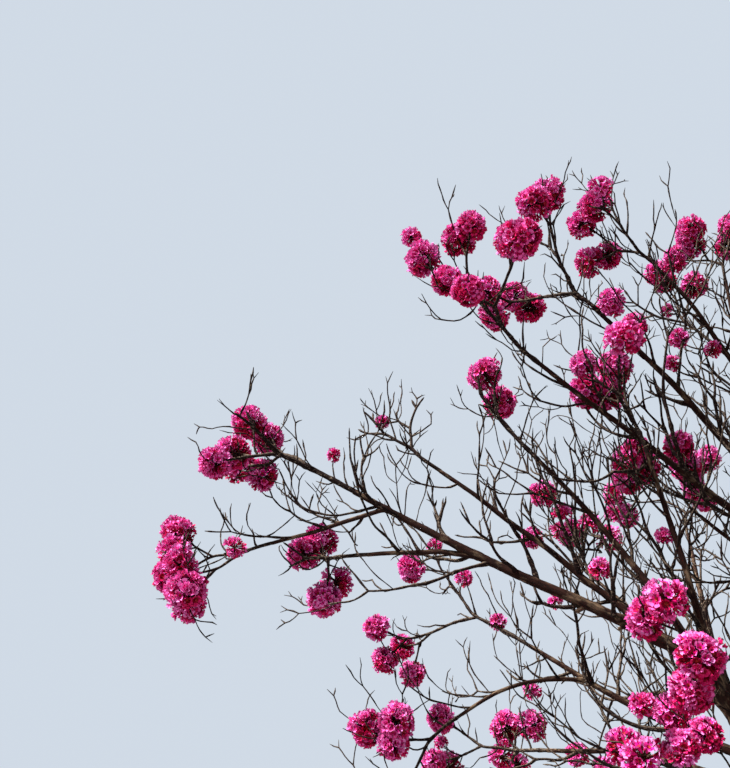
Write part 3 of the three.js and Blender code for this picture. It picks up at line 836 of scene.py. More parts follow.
def small_branch(start, direction, length, radius, dice, collar=0, level=0):
    """A branch that curves up out of a bough and forks in two, with side twigs of its own."""
    points = [start]
    for step in range(BRANCH_STEPS):
        direction = wander(direction, BRANCH_WOBBLE, BRANCH_LIFT, dice)
        points.append(points[-1] + direction * length / BRANCH_STEPS)
    middle = BRANCH_STEPS // 2
    if not in_tree(points[-1]) or room_from_limbs(points[1], points[middle]) < radius:
        return False
    if room_from_limbs(points[middle], points[-1]) < radius:
        return False
    if room_from_limbs(points[-1] - direction * radius, points[-1]) > BRANCH_REACH:
        return False
    tip, forks = BRANCH_TAPER * radius, 0
    if level < BRANCH_LEVELS - 1:
        axis = square_to(direction, 360 * dice.roll())
        for side in (-1, 1):
            onward = turned(direction, axis, side * dice.pick(*BRANCH_FORK_ANGLES))
            shorter = dice.pick(*BRANCH_FORK_SHARES) * length
            thinner = BRANCH_FORK_TAPER * tip
            forks += small_branch(points[-1], onward, shorter, thinner, dice, tip, level + 1)
    tip = tip if forks else BRANCH_END * TIP_RADIUS
    radii = [between(radius, tip, step / BRANCH_STEPS) for step in range(BRANCH_STEPS + 1)]
    centres, sizes, marks = smooth(points, radii, TWIG_STEP)
    swell = COLLAR_SWELL * np.exp(-(marks / (COLLAR_REACH * collar + TWIG_STEP)) ** 2)
    swollen = sizes * (1 + swell)
    small_branches.append((centres, swollen) if forks else pointed(centres, swollen))
    side_twigs(centres, sizes, marks, dice, None, BRANCH_NODE_GAPS)
    return True


def small_branches_of(centres, sizes, marks, dice):
    """Small branches left and right along the outer part of a bough."""
    gone, twist, side = BARE_START * marks[-1], 360 * dice.roll(), 1
    while gone < marks[-1] - LAST_BRANCH_GAP:
        at = int(np.searchsorted(marks, gone))
        direction = unit(centres[at] - centres[at - 1])
        aim = square_to(direction, twist)
        aim = turned(direction, aim, side * dice.pick(*SIDE_ANGLES))
        length = dice.pick(*BRANCH_LENGTHS, lean=BRANCH_LENGTH_LEAN)
        radius = min(BRANCH_RADIUS, BRANCH_RADIUS_SHARE * sizes[at]) * dice.pick(*BRANCH_RADII)
        small_branch(centres[at], aim, length, radius, dice, sizes[at])
        side, twist = -side, twist + BRANCH_TURN + BRANCH_TURN_SPREAD * dice.roll()
        gone += dice.pick(*BRANCH_GAPS)


# %% Collect the twigs of every mass and bough
STALK_SHARE = 0.7
FIRST_TWIG_SEED, TWIG_SEED_GAP = 7001, 31
FIRST_BRANCH_SEED, BRANCH_SEED_GAP = 9001, 17
main_twigs = []
for index, (name, twigs) in enumerate(masses.items()):
    dice = Dice(FIRST_TWIG_SEED + TWIG_SEED_GAP * index)
    for twig in twigs:
        points, radii = list(twig["points"]), list(twig["radii"])
        if twig["bloom"]:
            points.append(twig["bloom"][0])
            radii.append(STALK_SHARE * radii[-1])
        centres, sizes, marks = smooth(points, radii, TWIG_STEP)
        main_twigs.append((centres, sizes) if twig["bloom"] else pointed(centres, sizes))
        side_twigs(centres, sizes, marks, dice, name)
for index, name in enumerate(LIMBS):
    if not name.endswith("stem"):
        small_branches_of(*smooth_lines[name], Dice(FIRST_BRANCH_SEED + BRANCH_SEED_GAP * index))
print(len(main_twigs), "main twigs,", len(small_branches), "small branches")
print(len(fine_twigs), "finer twigs,", len(late_heads), "late heads")


# %% [markdown]
# ## Node helpers
# The twigs' skin, the flower heads and the finishes are all built from nodes. Wiring them one
# socket at a time is slow to read, so short helpers fill a node's sockets, name the sums that come
# back, and run a finished tree on a mesh to keep its result as a plain mesh.

# %% Add nodes, fill them and link them
def fill(tree, node, values):
    """Set sockets by name or number; a value that is a socket of another node is linked."""
    for name, value in values.items():
        sockets = [s for s in node.inputs if s.enabled]
        socket = sockets[name] if isinstance(name, int) else next(s for s in sockets if s.name == name)
        if isinstance(value, bpy.types.NodeSocket):
            tree.links.new(value, socket)
        else:
            socket.default_value = value


def add(tree, kind, values=None, out=None, **settings):
    """Add a node and give back one output: the named one, or else the first in use."""
    made = tree.nodes.new(kind)
    for name, value in settings.items():
        setattr(made, name, value)
    fill(tree, made, values or {})
    return made.outputs[out] if out else next((s for s in made.outputs if s.enabled), None)


def add_math(tree, operation, *values):
    return add(tree, "ShaderNodeMath", dict(enumerate(values)), operation=operation)


def plus(tree, a, b):
    return add_math(tree, "ADD", a, b)


def minus(tree, a, b):
    return add_math(tree, "SUBTRACT", a, b)


def times(tree, a, b):
    return add_math(tree, "MULTIPLY", a, b)


def add_vector(tree, operation, *values):
    return add(tree, "ShaderNodeVectorMath", dict(enumerate(values)), operation=operation)


def add_noise(tree, place, scale, detail, roughness=0.5, out=None):
    values = {"Vector": place, "Scale": scale, "Detail": detail, "Roughness": roughness}
    return add(tree, "ShaderNodeTexNoise", values, out)


def remap(tree, value, span, onto=(0.0, 1.0)):
    """Stretch one span of values over another, and hold them at both ends."""
    return add(tree, "ShaderNodeMapRange", {
        "Value": value, "From Min": span[0], "From Max": span[1], "To Min": onto[0], "To Max": onto[1]})


# %% Build a geometry tree, and run it on a mesh
def read(tree, name, data_type="FLOAT"):
    return add(tree, "GeometryNodeInputNamedAttribute", {"Name": name}, data_type=data_type)


def store(tree, geometry, name, value, data_type="FLOAT"):
    values = {"Geometry": geometry, "Name": name, "Value": value}
    return add(tree, "GeometryNodeStoreNamedAttribute", values, data_type=data_type)


def new_tree(name, sockets):
    """A geometry tree with a named input for each size, and a way to reach them."""
    tree = bpy.data.node_groups.new(name, "GeometryNodeTree")
    tree.interface.new_socket("Geometry", in_out="OUTPUT", socket_type="NodeSocketGeometry")
    for label, (kind, value) in {"Geometry": ("Geometry", None), **sockets}.items():
        socket = tree.interface.new_socket(label, in_out="INPUT", socket_type="NodeSocket" + kind)
        if value is not None:
            socket.default_value = value
    return tree, {s.name: s for s in tree.nodes.new("NodeGroupInput").outputs if s.name}


def finish_tree(tree, geometry, material):
    """Make the shapes real, give them their material and put them out."""
    geometry = add(tree, "GeometryNodeRealizeInstances", {"Geometry": geometry})
    geometry = add(tree, "GeometryNodeSetMaterial", {"Geometry": geometry, "Material": material})
    add(tree, "NodeGroupOutput", {0: geometry})
    return tree


def grow_piece(name, mesh, tree, values):
    """Run a tree on a mesh and keep the result as a plain mesh."""
    piece = new_object(name, mesh)
    modifier = piece.modifiers.new("grow", "NODES")
    modifier.node_group = tree
    for item in tree.interface.items_tree:
        if item.in_out == "INPUT" and item.name in values:
            modifier[item.identifier] = values[item.name]
    evaluated = piece.evaluated_get(bpy.context.evaluated_depsgraph_get())
    result = bpy.data.meshes.new_from_object(evaluated)
    piece.modifiers.remove(modifier)
    piece.data = result
    result.name = name
    print(name + ":", triangles(piece), "triangles")
    return piece


# %% Build a shader group, and dress a material with it
def shader_group(name, inputs):
    """A group with named inputs that puts out a colour, a roughness and a height."""
    tree = bpy.data.node_groups.new(name, "ShaderNodeTree")
    outputs = {"Colour": "Color", "Roughness": "Float", "Height": "Float"}
    for side, sockets in (("INPUT", inputs), ("OUTPUT", outputs)):
        for label, kind in sockets.items():
            tree.interface.new_socket(label, in_out=side, socket_type="NodeSocket" + kind)
    return tree, tree.nodes.new("NodeGroupInput").outputs


def new_finish(name):
    finish = bpy.data.materials.new(name)
    finish.use_nodes = True
    return finish, finish.node_tree, finish.node_tree.nodes["Principled BSDF"]


def dress(tree, shader, group, values, strength, depth, shine):
    """Take a material's colour, roughness and relief from one group."""
    look = add(tree, "ShaderNodeGroup", values, node_tree=group).node.outputs
    relief = add(tree, "ShaderNodeBump", {"Strength": strength, "Distance": depth, "Height": look["Height"]})
    fill(tree, shader, {
        "Base Color": look["Colour"], "Roughness": look["Roughness"], "Normal": relief,
        "Specular IOR Level": shine})


# %% [markdown]
# ## Bark finishes
# Seen from below the boughs are almost black-brown, with tan patches all round and paler flecks on
# the side that faces the key light, which are a painted highlight. A photograph of bark would
# stretch over the forks, so the pattern comes from noise. The same weathering and painted highlight
# lie on twigs and trunk at different scales, so it is one shader group with named inputs. On the
# boughs it reads a place along the bark, which makes the cracks run lengthwise, and on the twigs it
# reads Object coordinates.

# %% A shader group for weathered bark with a painted highlight
GRAIN_DETAIL, GRAIN_ROUGHNESS = 7.0, 0.62
PATTERN_STRETCH = (1.0, 1.0, 2.8)
PATCH_SCALE, PATCH_DETAIL, PATCH_STRENGTH = 0.35, 5.0, 0.45
PATCH_EDGE, PATCH_EDGE_SHIFT, PATCH_EDGE_WIDTH = 0.62, 0.3, 0.09
# Flecks of painted highlight: paler bark only on the side that faces the key light
HIGHLIGHT_FLECK_SCALE, HIGHLIGHT_FLECK_DETAIL = 0.8, 4.0
HIGHLIGHT_FLECK_SPAN, HIGHLIGHT_FLECK_RANGE = (0.46, 0.62), (0.05, 1.0)
SPECK_SPAN, SPECK_RANGE = (0.35, 0.65), (0.35, 1.0)
PAINTED_HIGHLIGHT_SPAN = (0.55, 1.0)
CRACK_LINE, CRACK_STRENGTH, CRACK_HEIGHT = 0.045, 0.7, 0.5
BARK_ROUGHNESS, GRAIN_SHARE = 0.74, 0.22


def mix_colours(tree, share, first, second):
    return add(tree, "ShaderNodeMix", {0: share, 1: first, 2: second}, data_type="RGBA")


def bark_group():
    tree, entry = shader_group("weathered bark", {
        "Place": "Vector", "Grain Scale": "Float", "Wood Colour": "Color", "Pale Colour": "Color",
        "Crack Colour": "Color", "Pale Share": "Float", "Sun Side": "Float"})
    place, scale = entry["Place"], entry["Grain Scale"]
    grain = add_noise(tree, place, scale, GRAIN_DETAIL, GRAIN_ROUGHNESS)
    crack = add_math(tree, "ABSOLUTE", minus(tree, grain, 0.5))
    crack = remap(tree, crack, (0.0, CRACK_LINE), (1.0, 0.0))
    place = add_vector(tree, "MULTIPLY", place, PATTERN_STRETCH)
    patch = add_noise(tree, place, times(tree, scale, PATCH_SCALE), PATCH_DETAIL)
    edge = minus(tree, PATCH_EDGE, times(tree, entry["Pale Share"], PATCH_EDGE_SHIFT))
    patch = remap(tree, patch, (edge, plus(tree, edge, PATCH_EDGE_WIDTH)))
    painted_highlight = add_noise(tree, place, times(tree, scale, HIGHLIGHT_FLECK_SCALE), HIGHLIGHT_FLECK_DETAIL)
    painted_highlight = remap(tree, painted_highlight, HIGHLIGHT_FLECK_SPAN, HIGHLIGHT_FLECK_RANGE)
    # The flecks show only where the surface faces the key light: a painted highlight.
    painted_highlight = times(tree, remap(tree, entry["Sun Side"], PAINTED_HIGHLIGHT_SPAN), painted_highlight)
    # Paler where the bark's own tan patches lie or where the painted highlight is, whichever is stronger.
    pale = add_math(tree, "MAXIMUM", times(tree, patch, PATCH_STRENGTH), painted_highlight)
    pale = times(tree, pale, remap(tree, grain, SPECK_SPAN, SPECK_RANGE))
    colour = mix_colours(tree, pale, entry["Wood Colour"], entry["Pale Colour"])
    add(tree, "NodeGroupOutput", {
        "Colour": mix_colours(tree, times(tree, crack, CRACK_STRENGTH), colour, entry["Crack Colour"]),
        "Roughness": plus(tree, BARK_ROUGHNESS, times(tree, grain, GRAIN_SHARE)),
        "Height": minus(tree, grain, times(tree, crack, CRACK_HEIGHT))})
    return tree


weathered_and_lit = bark_group()
print(len(weathered_and_lit.nodes), "nodes of bark")

# %% Bark for the boughs and bark for the twigs
SUN_AZIMUTH, SUN_PITCH = 215, 37
SUN_SIDE = tuple(heading(SUN_AZIMUTH, SUN_PITCH))
BARK_RELIEF, BARK_SHINE = 0.7, 0.15


def bark_finish(name, place_attribute, depth, values):
    finish, tree, shader = new_finish(name)
    if place_attribute:
        place = add(tree, "ShaderNodeAttribute", out="Vector", attribute_name=place_attribute)
    else:
        place = add(tree, "ShaderNodeTexCoord", out="Object")
    normal = add(tree, "ShaderNodeNewGeometry", out="Normal")
    # How far the surface faces the key light; the group paints the bark paler there, a painted highlight.
    sun_side = add_vector(tree, "DOT_PRODUCT", normal, SUN_SIDE)
    values = {"Place": place, "Sun Side": sun_side, **values}
    dress(tree, shader, weathered_and_lit, values, BARK_RELIEF, depth, BARK_SHINE)
    return finish


bough_bark = bark_finish("bough bark", "bark_place", 0.004, {
    "Grain Scale": 80.0, "Wood Colour": (0.034, 0.0112, 0.0075, 1), "Pale Colour": (0.42, 0.29, 0.18, 1),
    "Crack Colour": (0.004, 0.0015, 0.0015, 1), "Pale Share": 0.3})
twig_bark = bark_finish("twig bark", None, 0.0006, {
    "Grain Scale": 160.0, "Wood Colour": (0.015, 0.006, 0.005, 1), "Pale Colour": (0.6, 0.46, 0.33, 1),
    "Crack Colour": (0.006, 0.0025, 0.003, 1), "Pale Share": 0.2})
trunk_and_boughs.data.materials.append(bough_bark)

# %% [markdown]
# ## The twigs' skin
# A twig is a thin round stick that wavers a little and has knobs where buds were. Each could be a
# tube of its own, but thousands of them follow one rule, so they are lines with a radius, skinned
# by Geometry Nodes. The tree rounds each line, gives it a slight waver and knobs at random, and
# sweeps a small circle along it, with more sides for stout twigs and fewer for fine ones.

# %% Geometry Nodes that skin lines of twigs
WAVE_SCALE, KNOT_SCALE, KNOT_SPAN = 7.0, 38.0, (0.5, 0.72)


def twig_skin():
    tree, entry = new_tree("twig skin", {
        "Sides": ("Int", 6), "Ring Gap": ("Float", 0.02), "Waver": ("Float", 0.008),
        "Knobs": ("Float", 0.5), "Bark": ("Material", None)})
    curve = add(tree, "GeometryNodeMeshToCurve", {"Mesh": entry["Geometry"]})
    curve = add(tree, "GeometryNodeCurveSplineType", {"Curve": curve}, spline_type="CATMULL_ROM")
    rings = {"Curve": curve, "Length": entry["Ring Gap"]}
    curve = add(tree, "GeometryNodeResampleCurve", rings, mode="LENGTH")
    place = add(tree, "GeometryNodeInputPosition")
    wave = add_noise(tree, place, WAVE_SCALE, detail=1.0, out="Color")
    sway = add_vector(tree, "SCALE", add_vector(tree, "SUBTRACT", wave, (0.5, 0.5, 0.5)), entry["Waver"])
    curve = add(tree, "GeometryNodeSetPosition", {"Geometry": curve, "Offset": sway})
    knot = remap(tree, add_noise(tree, place, KNOT_SCALE, detail=1.0), KNOT_SPAN)
    knot = times(tree, knot, entry["Knobs"])
    size = times(tree, read(tree, "twig_radius"), plus(tree, knot, 1.0))
    profile = add(tree, "GeometryNodeCurvePrimitiveCircle", {"Resolution": entry["Sides"], "Radius": 1.0})
    skin = add(tree, "GeometryNodeCurveToMesh", {
        "Curve": curve, "Profile Curve": profile, "Scale": size, "Fill Caps": True})
    skin = add(tree, "GeometryNodeSetShadeSmooth", {"Geometry": skin})
    return finish_tree(tree, skin, entry["Bark"])


# %% Skin the twigs
def line_mesh(name, twigs):
    """Edges along each twig, with the twig's radius at every point."""
    points, edges, radii = [], [], []
    for line, sizes in twigs:
        edges += [(len(points) + step, len(points) + step + 1) for step in range(len(line) - 1)]
        points += list(line)
        radii += list(sizes)
    mesh = new_mesh(name, points, edges)
    mark_points(mesh, "twig_radius", "FLOAT", radii)
    return mesh


skin = twig_skin()
twigs = grow_piece("twigs", line_mesh("twig lines", main_twigs), skin, {
    "Sides": 8, "Ring Gap": 0.018, "Waver": 0.012, "Knobs": 0.45, "Bark": twig_bark})
branches = grow_piece("small_branches", line_mesh("branch lines", small_branches), skin, {
    "Sides": 6, "Ring Gap": 0.024, "Waver": 0.014, "Knobs": 0.5, "Bark": twig_bark})
finer_twigs = grow_piece("side_twigs", line_mesh("side twig lines", fine_twigs), skin, {
    "Sides": 4, "Ring Gap": 0.026, "Waver": 0.012, "Knobs": 0.6, "Bark": twig_bark})

# %% [markdown]
# ## Flowers
# Each head is a globe of trumpet flowers: a narrow five-sided tube opens into five ruffled lobes
# with paler rims, over a warm throat and a small dark calyx. A flat picture of a flower would be
# lighter, but modelled petals with a few dozen faces each keep their own outline and cast real
# shade on each other. Four forms of the flower keep a head from looking stamped.

# %% Make the forms of one flower
LOBES = 5
TUBE_FOOT, THROAT = (0.22, 0.07), (0.68, 0.15)
MIDDLE_OF_LOBE = ((-0.34, 0.29, 0.84), (0, 0.32, 0.86), (0.34, 0.29, 0.84))
RIM_OF_LOBE = ((-0.46, 0.75), (-0.29, 1.0), (0, 0.99), (0.29, 1.0), (0.46, 0.75))
LOBE_REACHES = (0.88, 1.1)
CRIMP = 0.45
FORMS = {
    "a_open": (0.45, 0.93, 0.08, 11), "b_wide": (0.49, 0.86, 0.09, 12),
    "c_crinkled": (0.43, 0.95, 0.125, 13), "d_nodding": (0.39, 1.0, 0.1, 14),
}


def ring_point(turn, radius, height):
    angle = math.radians(turn)
    return (radius * math.cos(angle), radius * math.sin(angle), height)


def kept_faces(name, points, faces):
    """A smooth mesh of some faces, without the points that they don't use."""
    places = {corner: place for place, corner in enumerate(sorted({c for face in faces for c in face}))}
    mesh = new_mesh(name, [points[corner] for corner in places],
                    faces=[tuple(places[corner] for corner in face) for face in faces])
    mesh.shade_smooth()
    return mesh


def trumpet_mesh(name, rim, rise, ruffle, seed, rims):
    """The tube and the lobes' inner halves of a flower one unit long, or only its ruffled rims."""
    dice = Dice(seed)
    lobe = 360 / LOBES
    points = [ring_point(lobe * (k - 0.5), radius, height) for height, radius in (TUBE_FOOT, THROAT)
              for k in range(LOBES)]
    faces = [(k, (k + 1) % LOBES, LOBES + (k + 1) % LOBES, LOBES + k) for k in range(LOBES)]
    rim_faces = []
    for k in range(LOBES):
        tilt = ruffle * dice.swing()
        reach = dice.pick(*LOBE_REACHES)
        a = len(points)
        for turn, radius, height in MIDDLE_OF_LOBE:
            points.append(ring_point(lobe * (k + turn), radius * reach, height * rise + tilt / 2))
        for wave, (turn, share) in enumerate(RIM_OF_LOBE):
            crimp = ruffle * (CRIMP * (-1) ** wave + CRIMP * dice.swing())
            points.append(ring_point(lobe * (k + turn), rim * reach * share, rise + tilt + crimp))
        left, right = LOBES + k, LOBES + (k + 1) % LOBES
        b, c = a + 1, a + 2
        faces += [(left, b, a), (left, right, b), (right, c, b)]
        rim_faces += [(a, a + 4, a + 3), (a, b, a + 4), (b, a + 5, a + 4),
                      (b, a + 6, a + 5), (b, c, a + 6), (c, a + 7, a + 6)]
    return kept_faces(name, points, rim_faces if rims else faces)


def cup_mesh(name, foot, mouth, sides):
    """A small pointed cup from the height of its foot to the (height, radius) of its mouth."""
    height, radius = mouth
    rim = [ring_point(360 * side / sides, radius, height) for side in range(sides)]
    faces = [(0, 1 + (side + 1) % sides, 1 + side) for side in range(sides)]
    return kept_faces(name, [ring_point(0, 0, foot)] + rim, faces)


def form_collection(name, meshes):
    forms = bpy.data.collections.new(name)
    for mesh in meshes:
        forms.objects.link(bpy.data.objects.new(mesh.name, mesh))
    return forms


corollas = form_collection("corollas", [trumpet_mesh(name, *sizes, False) for name, sizes in FORMS.items()])
rims = form_collection("rims", [trumpet_mesh(name + "_rim", *sizes, True) for name, sizes in FORMS.items()])
throats = form_collection("throats", [cup_mesh("throat", 0.5, (0.72, 0.125), 5)])
calyxes = form_collection("calyxes", [cup_mesh("calyx", -0.5, (0.16, 0.09), 3)])

# %% [markdown]
# ## Flower heads
# The flowers of a head are set as seeds in a sunflower are, each a golden angle on from the last.
# Flowers strewn at random would clump, but this spiral spreads them evenly however many there are.
# Geometry Nodes lay it over every head, leave the side of the twig free, drop a few flowers so
# that heads look ragged, and deal each flower one of three plain petal colours, partly at random
# and partly by how far it faces the key light: paler towards it, a painted highlight, and deeper
# crimson away from it, a painted shade.

# %% The named sizes of the flower heads
FLOWERS_ON_FULL_HEAD, FEWEST_FLOWERS, MOST_FLOWERS = 72, 7, 76
FLOWER_SHARE, LONGEST_SHARE = 0.61, 0.9
SIZE_EVENNESS = 0.6
HEAD_COVER = 0.82
RAGGED_SHARE = 0.05
OPEN_HEAD_ODDS, OPEN_HEAD_SHARES, OPEN_HEAD_LENGTH = 0.16, (0.35, 0.65), 1.12
LATE_HEAD_SHARE, LATE_HEAD_SEAT = 0.7, 0.5
GOLDEN_ANGLE, FULL_TURN = 2.39996, 6.283
STRAY = 0.11
FLOWER_SIZES = (0.84, 1.12)
LUMP_SCALE, LUMP_REACH, LUMP_SPAN, LUMP_RANGE = 17.0, 0.09, (0.3, 0.7), (0.84, 1.06)
# The first weighs how far a flower faces the key light. It deals paler petals there as a painted highlight
# and crimson ones on the far side as painted shade; the other two add random tone.
PAINTED_LIGHT_TONE, LUCK, HEAD_TONE = 0.45, 0.45, 0.16
TONE_STEPS = (-0.2, 0.2)
FLOWER_TILT = 0.36
HEAD_SEED, FLOWER_SEED = 4242, 5


# %% Lay a spiral of flower places over every head
def rolled(tree, entry, use, low, high, data_type="FLOAT"):
    """A random value; each use adds its own number to the tree's seed."""
    seed = plus(tree, entry["Seed"], use)
    return add(tree, "FunctionNodeRandomValue", {"Min": low, "Max": high, "Seed": seed}, data_type=data_type)


def compare(tree, operation, a, b):
    return add(tree, "FunctionNodeCompare", {0: a, 1: b}, data_type="INT", operation=operation)


def flower_places(tree, entry, step, count):
    """As many points in the middle of each head as it has flowers."""
    steps = add(tree, "GeometryNodeMeshLine", {"Count": entry["Most Flowers"], "Offset": (0, 0, 0)})
    steps = store(tree, steps, "spiral_step", add(tree, "GeometryNodeInputIndex"), "INT")
    dots = add(tree, "GeometryNodeInstanceOnPoints", {"Points": entry["Geometry"], "Instance": steps})
    dots = add(tree, "GeometryNodeRealizeInstances", {"Geometry": dots})
    extra = compare(tree, "GREATER_EQUAL", step, count)
    return add(tree, "GeometryNodeDeleteGeometry", {"Geometry": dots, "Selection": extra})


def flower_directions(tree, entry, step, count):
    """The way that each flower points: on the spiral, a little astray."""
    down = add_math(tree, "DIVIDE", plus(tree, step, 0.5), count)
    height = minus(tree, 1.0, times(tree, down, plus(tree, entry["Cover"], 1.0)))
    width = add_math(tree, "SQRT", minus(tree, 1.0, times(tree, height, height)))
    turn = plus(tree, times(tree, step, GOLDEN_ANGLE), read(tree, "head_spin"))
    local = add(tree, "ShaderNodeCombineXYZ", {
        "X": times(tree, width, add_math(tree, "COSINE", turn)),
        "Y": times(tree, width, add_math(tree, "SINE", turn)), "Z": height})
    aim = read(tree, "head_aim", "FLOAT_VECTOR")
    stand = add(tree, "FunctionNodeAlignRotationToVector", {"Vector": aim}, axis="Z")
    outward = add(tree, "FunctionNodeRotateVector", {"Vector": local, "Rotation": stand})
    stray = rolled(tree, entry, 1.0, (-STRAY, -STRAY, -STRAY), (STRAY, STRAY, STRAY), "FLOAT_VECTOR")
    return add_vector(tree, "NORMALIZE", add_vector(tree, "ADD", outward, stray))


def push_out(tree, entry, dots, outward):
    """Move each flower's foot out of the middle, so that the head is a lumpy globe."""
    lump_place = add(tree, "GeometryNodeInputPosition")
    lump_place = add_vector(tree, "ADD", lump_place, add_vector(tree, "SCALE", outward, LUMP_REACH))
    lump = remap(tree, add_noise(tree, lump_place, LUMP_SCALE, detail=0.0), LUMP_SPAN, LUMP_RANGE)
    size = times(tree, read(tree, "flower_length"), rolled(tree, entry, 2.0, *FLOWER_SIZES))
    foot = minus(tree, times(tree, read(tree, "head_radius"), lump), size)
    dots = store(tree, dots, "flower_size", size)
    offset = add_vector(tree, "SCALE", outward, foot)
    return add(tree, "GeometryNodeSetPosition", {"Geometry": dots, "Offset": offset})


def wrong_shade(tree, entry, outward):
    """Whether a flower is dealt another petal colour than the one that is being set."""
    # Facing the key light deals paler petals, a painted highlight, and facing away deals crimson ones,
    # painted shade; luck and the head's own tone are random.
    tone = times(tree, add_vector(tree, "DOT_PRODUCT", outward, SUN_SIDE), PAINTED_LIGHT_TONE)
    tone = plus(tree, tone, rolled(tree, entry, 3.0, -LUCK, LUCK))
    tone = plus(tree, tone, read(tree, "head_tone"))
    darker, paler = TONE_STEPS
    darker = add_math(tree, "GREATER_THAN", tone, darker)
    paler = add_math(tree, "GREATER_THAN", tone, paler)
    other = compare(tree, "NOT_EQUAL", plus(tree, darker, paler), entry["Shade"])
    some = compare(tree, "GREATER_EQUAL", entry["Shade"], 0)
    return add(tree, "FunctionNodeBooleanMath", {0: other, 1: some}, operation="AND")


# %% Geometry Nodes that set flowers on heads
def flower_head_tree():
    tree, entry = new_tree("flower heads", {
        "Forms": ("Collection", None), "Most Flowers": ("Int", MOST_FLOWERS), "Cover": ("Float", HEAD_COVER),
        "Ragged Share": ("Float", RAGGED_SHARE), "Shade": ("Int", -1), "Seed": ("Int", FLOWER_SEED),
        "Petals": ("Material", None)})
    step, count = read(tree, "spiral_step", "INT"), read(tree, "flower_count", "INT")
    dots = flower_places(tree, entry, step, count)
    dots = store(tree, dots, "outward", flower_directions(tree, entry, step, count), "FLOAT_VECTOR")
    missing = add(tree, "FunctionNodeRandomValue", {
        "Probability": entry["Ragged Share"], "Seed": entry["Seed"]}, data_type="BOOLEAN")
    dots = add(tree, "GeometryNodeDeleteGeometry", {"Geometry": dots, "Selection": missing})
    outward = read(tree, "outward", "FLOAT_VECTOR")
    dots = push_out(tree, entry, dots, outward)
    dots = store(tree, dots, "other_shade", wrong_shade(tree, entry, outward), "BOOLEAN")
    face = add(tree, "FunctionNodeAlignRotationToVector", {"Vector": outward}, axis="Z")
    low, high = (-FLOWER_TILT, -FLOWER_TILT, 0.0), (FLOWER_TILT, FLOWER_TILT, FULL_TURN)
    spin = rolled(tree, entry, 4.0, low, high, "FLOAT_VECTOR")
    spin = add(tree, "FunctionNodeEulerToRotation", {"Euler": spin})
    turn = {"Rotation": face, "Rotate By": spin}
    face = add(tree, "FunctionNodeRotateRotation", turn, rotation_space="LOCAL")
    kind = rolled(tree, entry, 5.0, 0, len(FORMS) - 1, "INT")
    forms = {"Collection": entry["Forms"], "Separate Children": True}
    forms = add(tree, "GeometryNodeCollectionInfo", forms)
    wanted = add(tree, "FunctionNodeBooleanMath", {0: read(tree, "other_shade", "BOOLEAN")}, operation="NOT")
    flowers = add(tree, "GeometryNodeInstanceOnPoints", {
        "Points": dots, "Selection": wanted, "Instance": forms, "Pick Instance": True,
        "Instance Index": kind, "Rotation": face, "Scale": read(tree, "flower_size")})
    return finish_tree(tree, flowers, entry["Petals"])


# %% Gather every head, and what the nodes need to know of it
HEAD_VALUES = {
    "head_radius": "FLOAT", "head_aim": "FLOAT_VECTOR", "flower_length": "FLOAT", "flower_count": "INT",
    "head_spin": "FLOAT", "head_tone": "FLOAT",
}


def head_values(radius, aim, full, dice):
    usual = FLOWER_SHARE * BLOOM_RADIUS
    length = usual * (radius / BLOOM_RADIUS) ** SIZE_EVENNESS
    length = min(length, LONGEST_SHARE * radius)
    packed = (radius / BLOOM_RADIUS) ** 2 / (length / usual) ** 2
    if dice.roll() < OPEN_HEAD_ODDS:
        full = full * dice.pick(*OPEN_HEAD_SHARES)
        length = OPEN_HEAD_LENGTH * length
    count = max(FEWEST_FLOWERS, min(MOST_FLOWERS, round(full * packed)))
    spin = FULL_TURN * dice.roll()
    tone = HEAD_TONE * dice.swing()
    return radius, aim, length, count, spin, tone


def head_mesh():
    """A point in the middle of each head."""
    late = [(tip + aim * radius * LATE_HEAD_SEAT, radius, aim) for tip, radius, aim in late_heads]
    dice = Dice(HEAD_SEED)
    rows = [head_values(radius, aim, FLOWERS_ON_FULL_HEAD, dice) for _, radius, aim in heads]
    few = LATE_HEAD_SHARE * FLOWERS_ON_FULL_HEAD
    rows += [head_values(radius, aim, few, dice) for _, radius, aim in late]
    mesh = new_mesh("head centres", [centre for centre, _, _ in heads + late])
    for (label, kind), values in zip(HEAD_VALUES.items(), zip(*rows)):
        mark_points(mesh, label, kind, values)
    print(len(rows), "heads and up to", sum(row[3] for row in rows), "flowers")
    return mesh


# %% [markdown]
# ## Petal finishes
# A petal is thin and matt, deep in the middle and paler along its rim. A colour that fades over
# each petal would need a map of its own, so the rims are pieces with a paler plain colour, and a
# fine soft noise makes every colour a little uneven, deeper where it is darker.

# %% Petal, throat and calyx finishes
VEIN_SCALE, VEIN_DETAIL = 130.0, 3.0
FOLD_DEPTH = 0.3
PETAL_ROUGHNESS, VEIN_SHARE = 0.5, 0.2
PETAL_UNEVENNESS = 0.5
PETAL_RELIEF, PETAL_RELIEF_DEPTH, PETAL_SHINE = 0.35, 0.0008, 0.1


def petal_group():
    tree, entry = shader_group("uneven petal", {"Petal Colour": "Color", "Unevenness": "Float"})
    place = add(tree, "ShaderNodeTexCoord", out="Object")
    vein = add_noise(tree, place, VEIN_SCALE, VEIN_DETAIL)
    shade = times(tree, minus(tree, vein, 0.5), entry["Unevenness"])
    colour = add(tree, "ShaderNodeHueSaturation", {
        "Color": entry["Petal Colour"], "Value": plus(tree, 1.0, shade),
        "Saturation": minus(tree, 1.0, times(tree, shade, FOLD_DEPTH))})
    add(tree, "NodeGroupOutput", {
        "Colour": colour, "Height": vein,
        "Roughness": plus(tree, PETAL_ROUGHNESS, times(tree, vein, VEIN_SHARE))})
    return tree


uneven = petal_group()


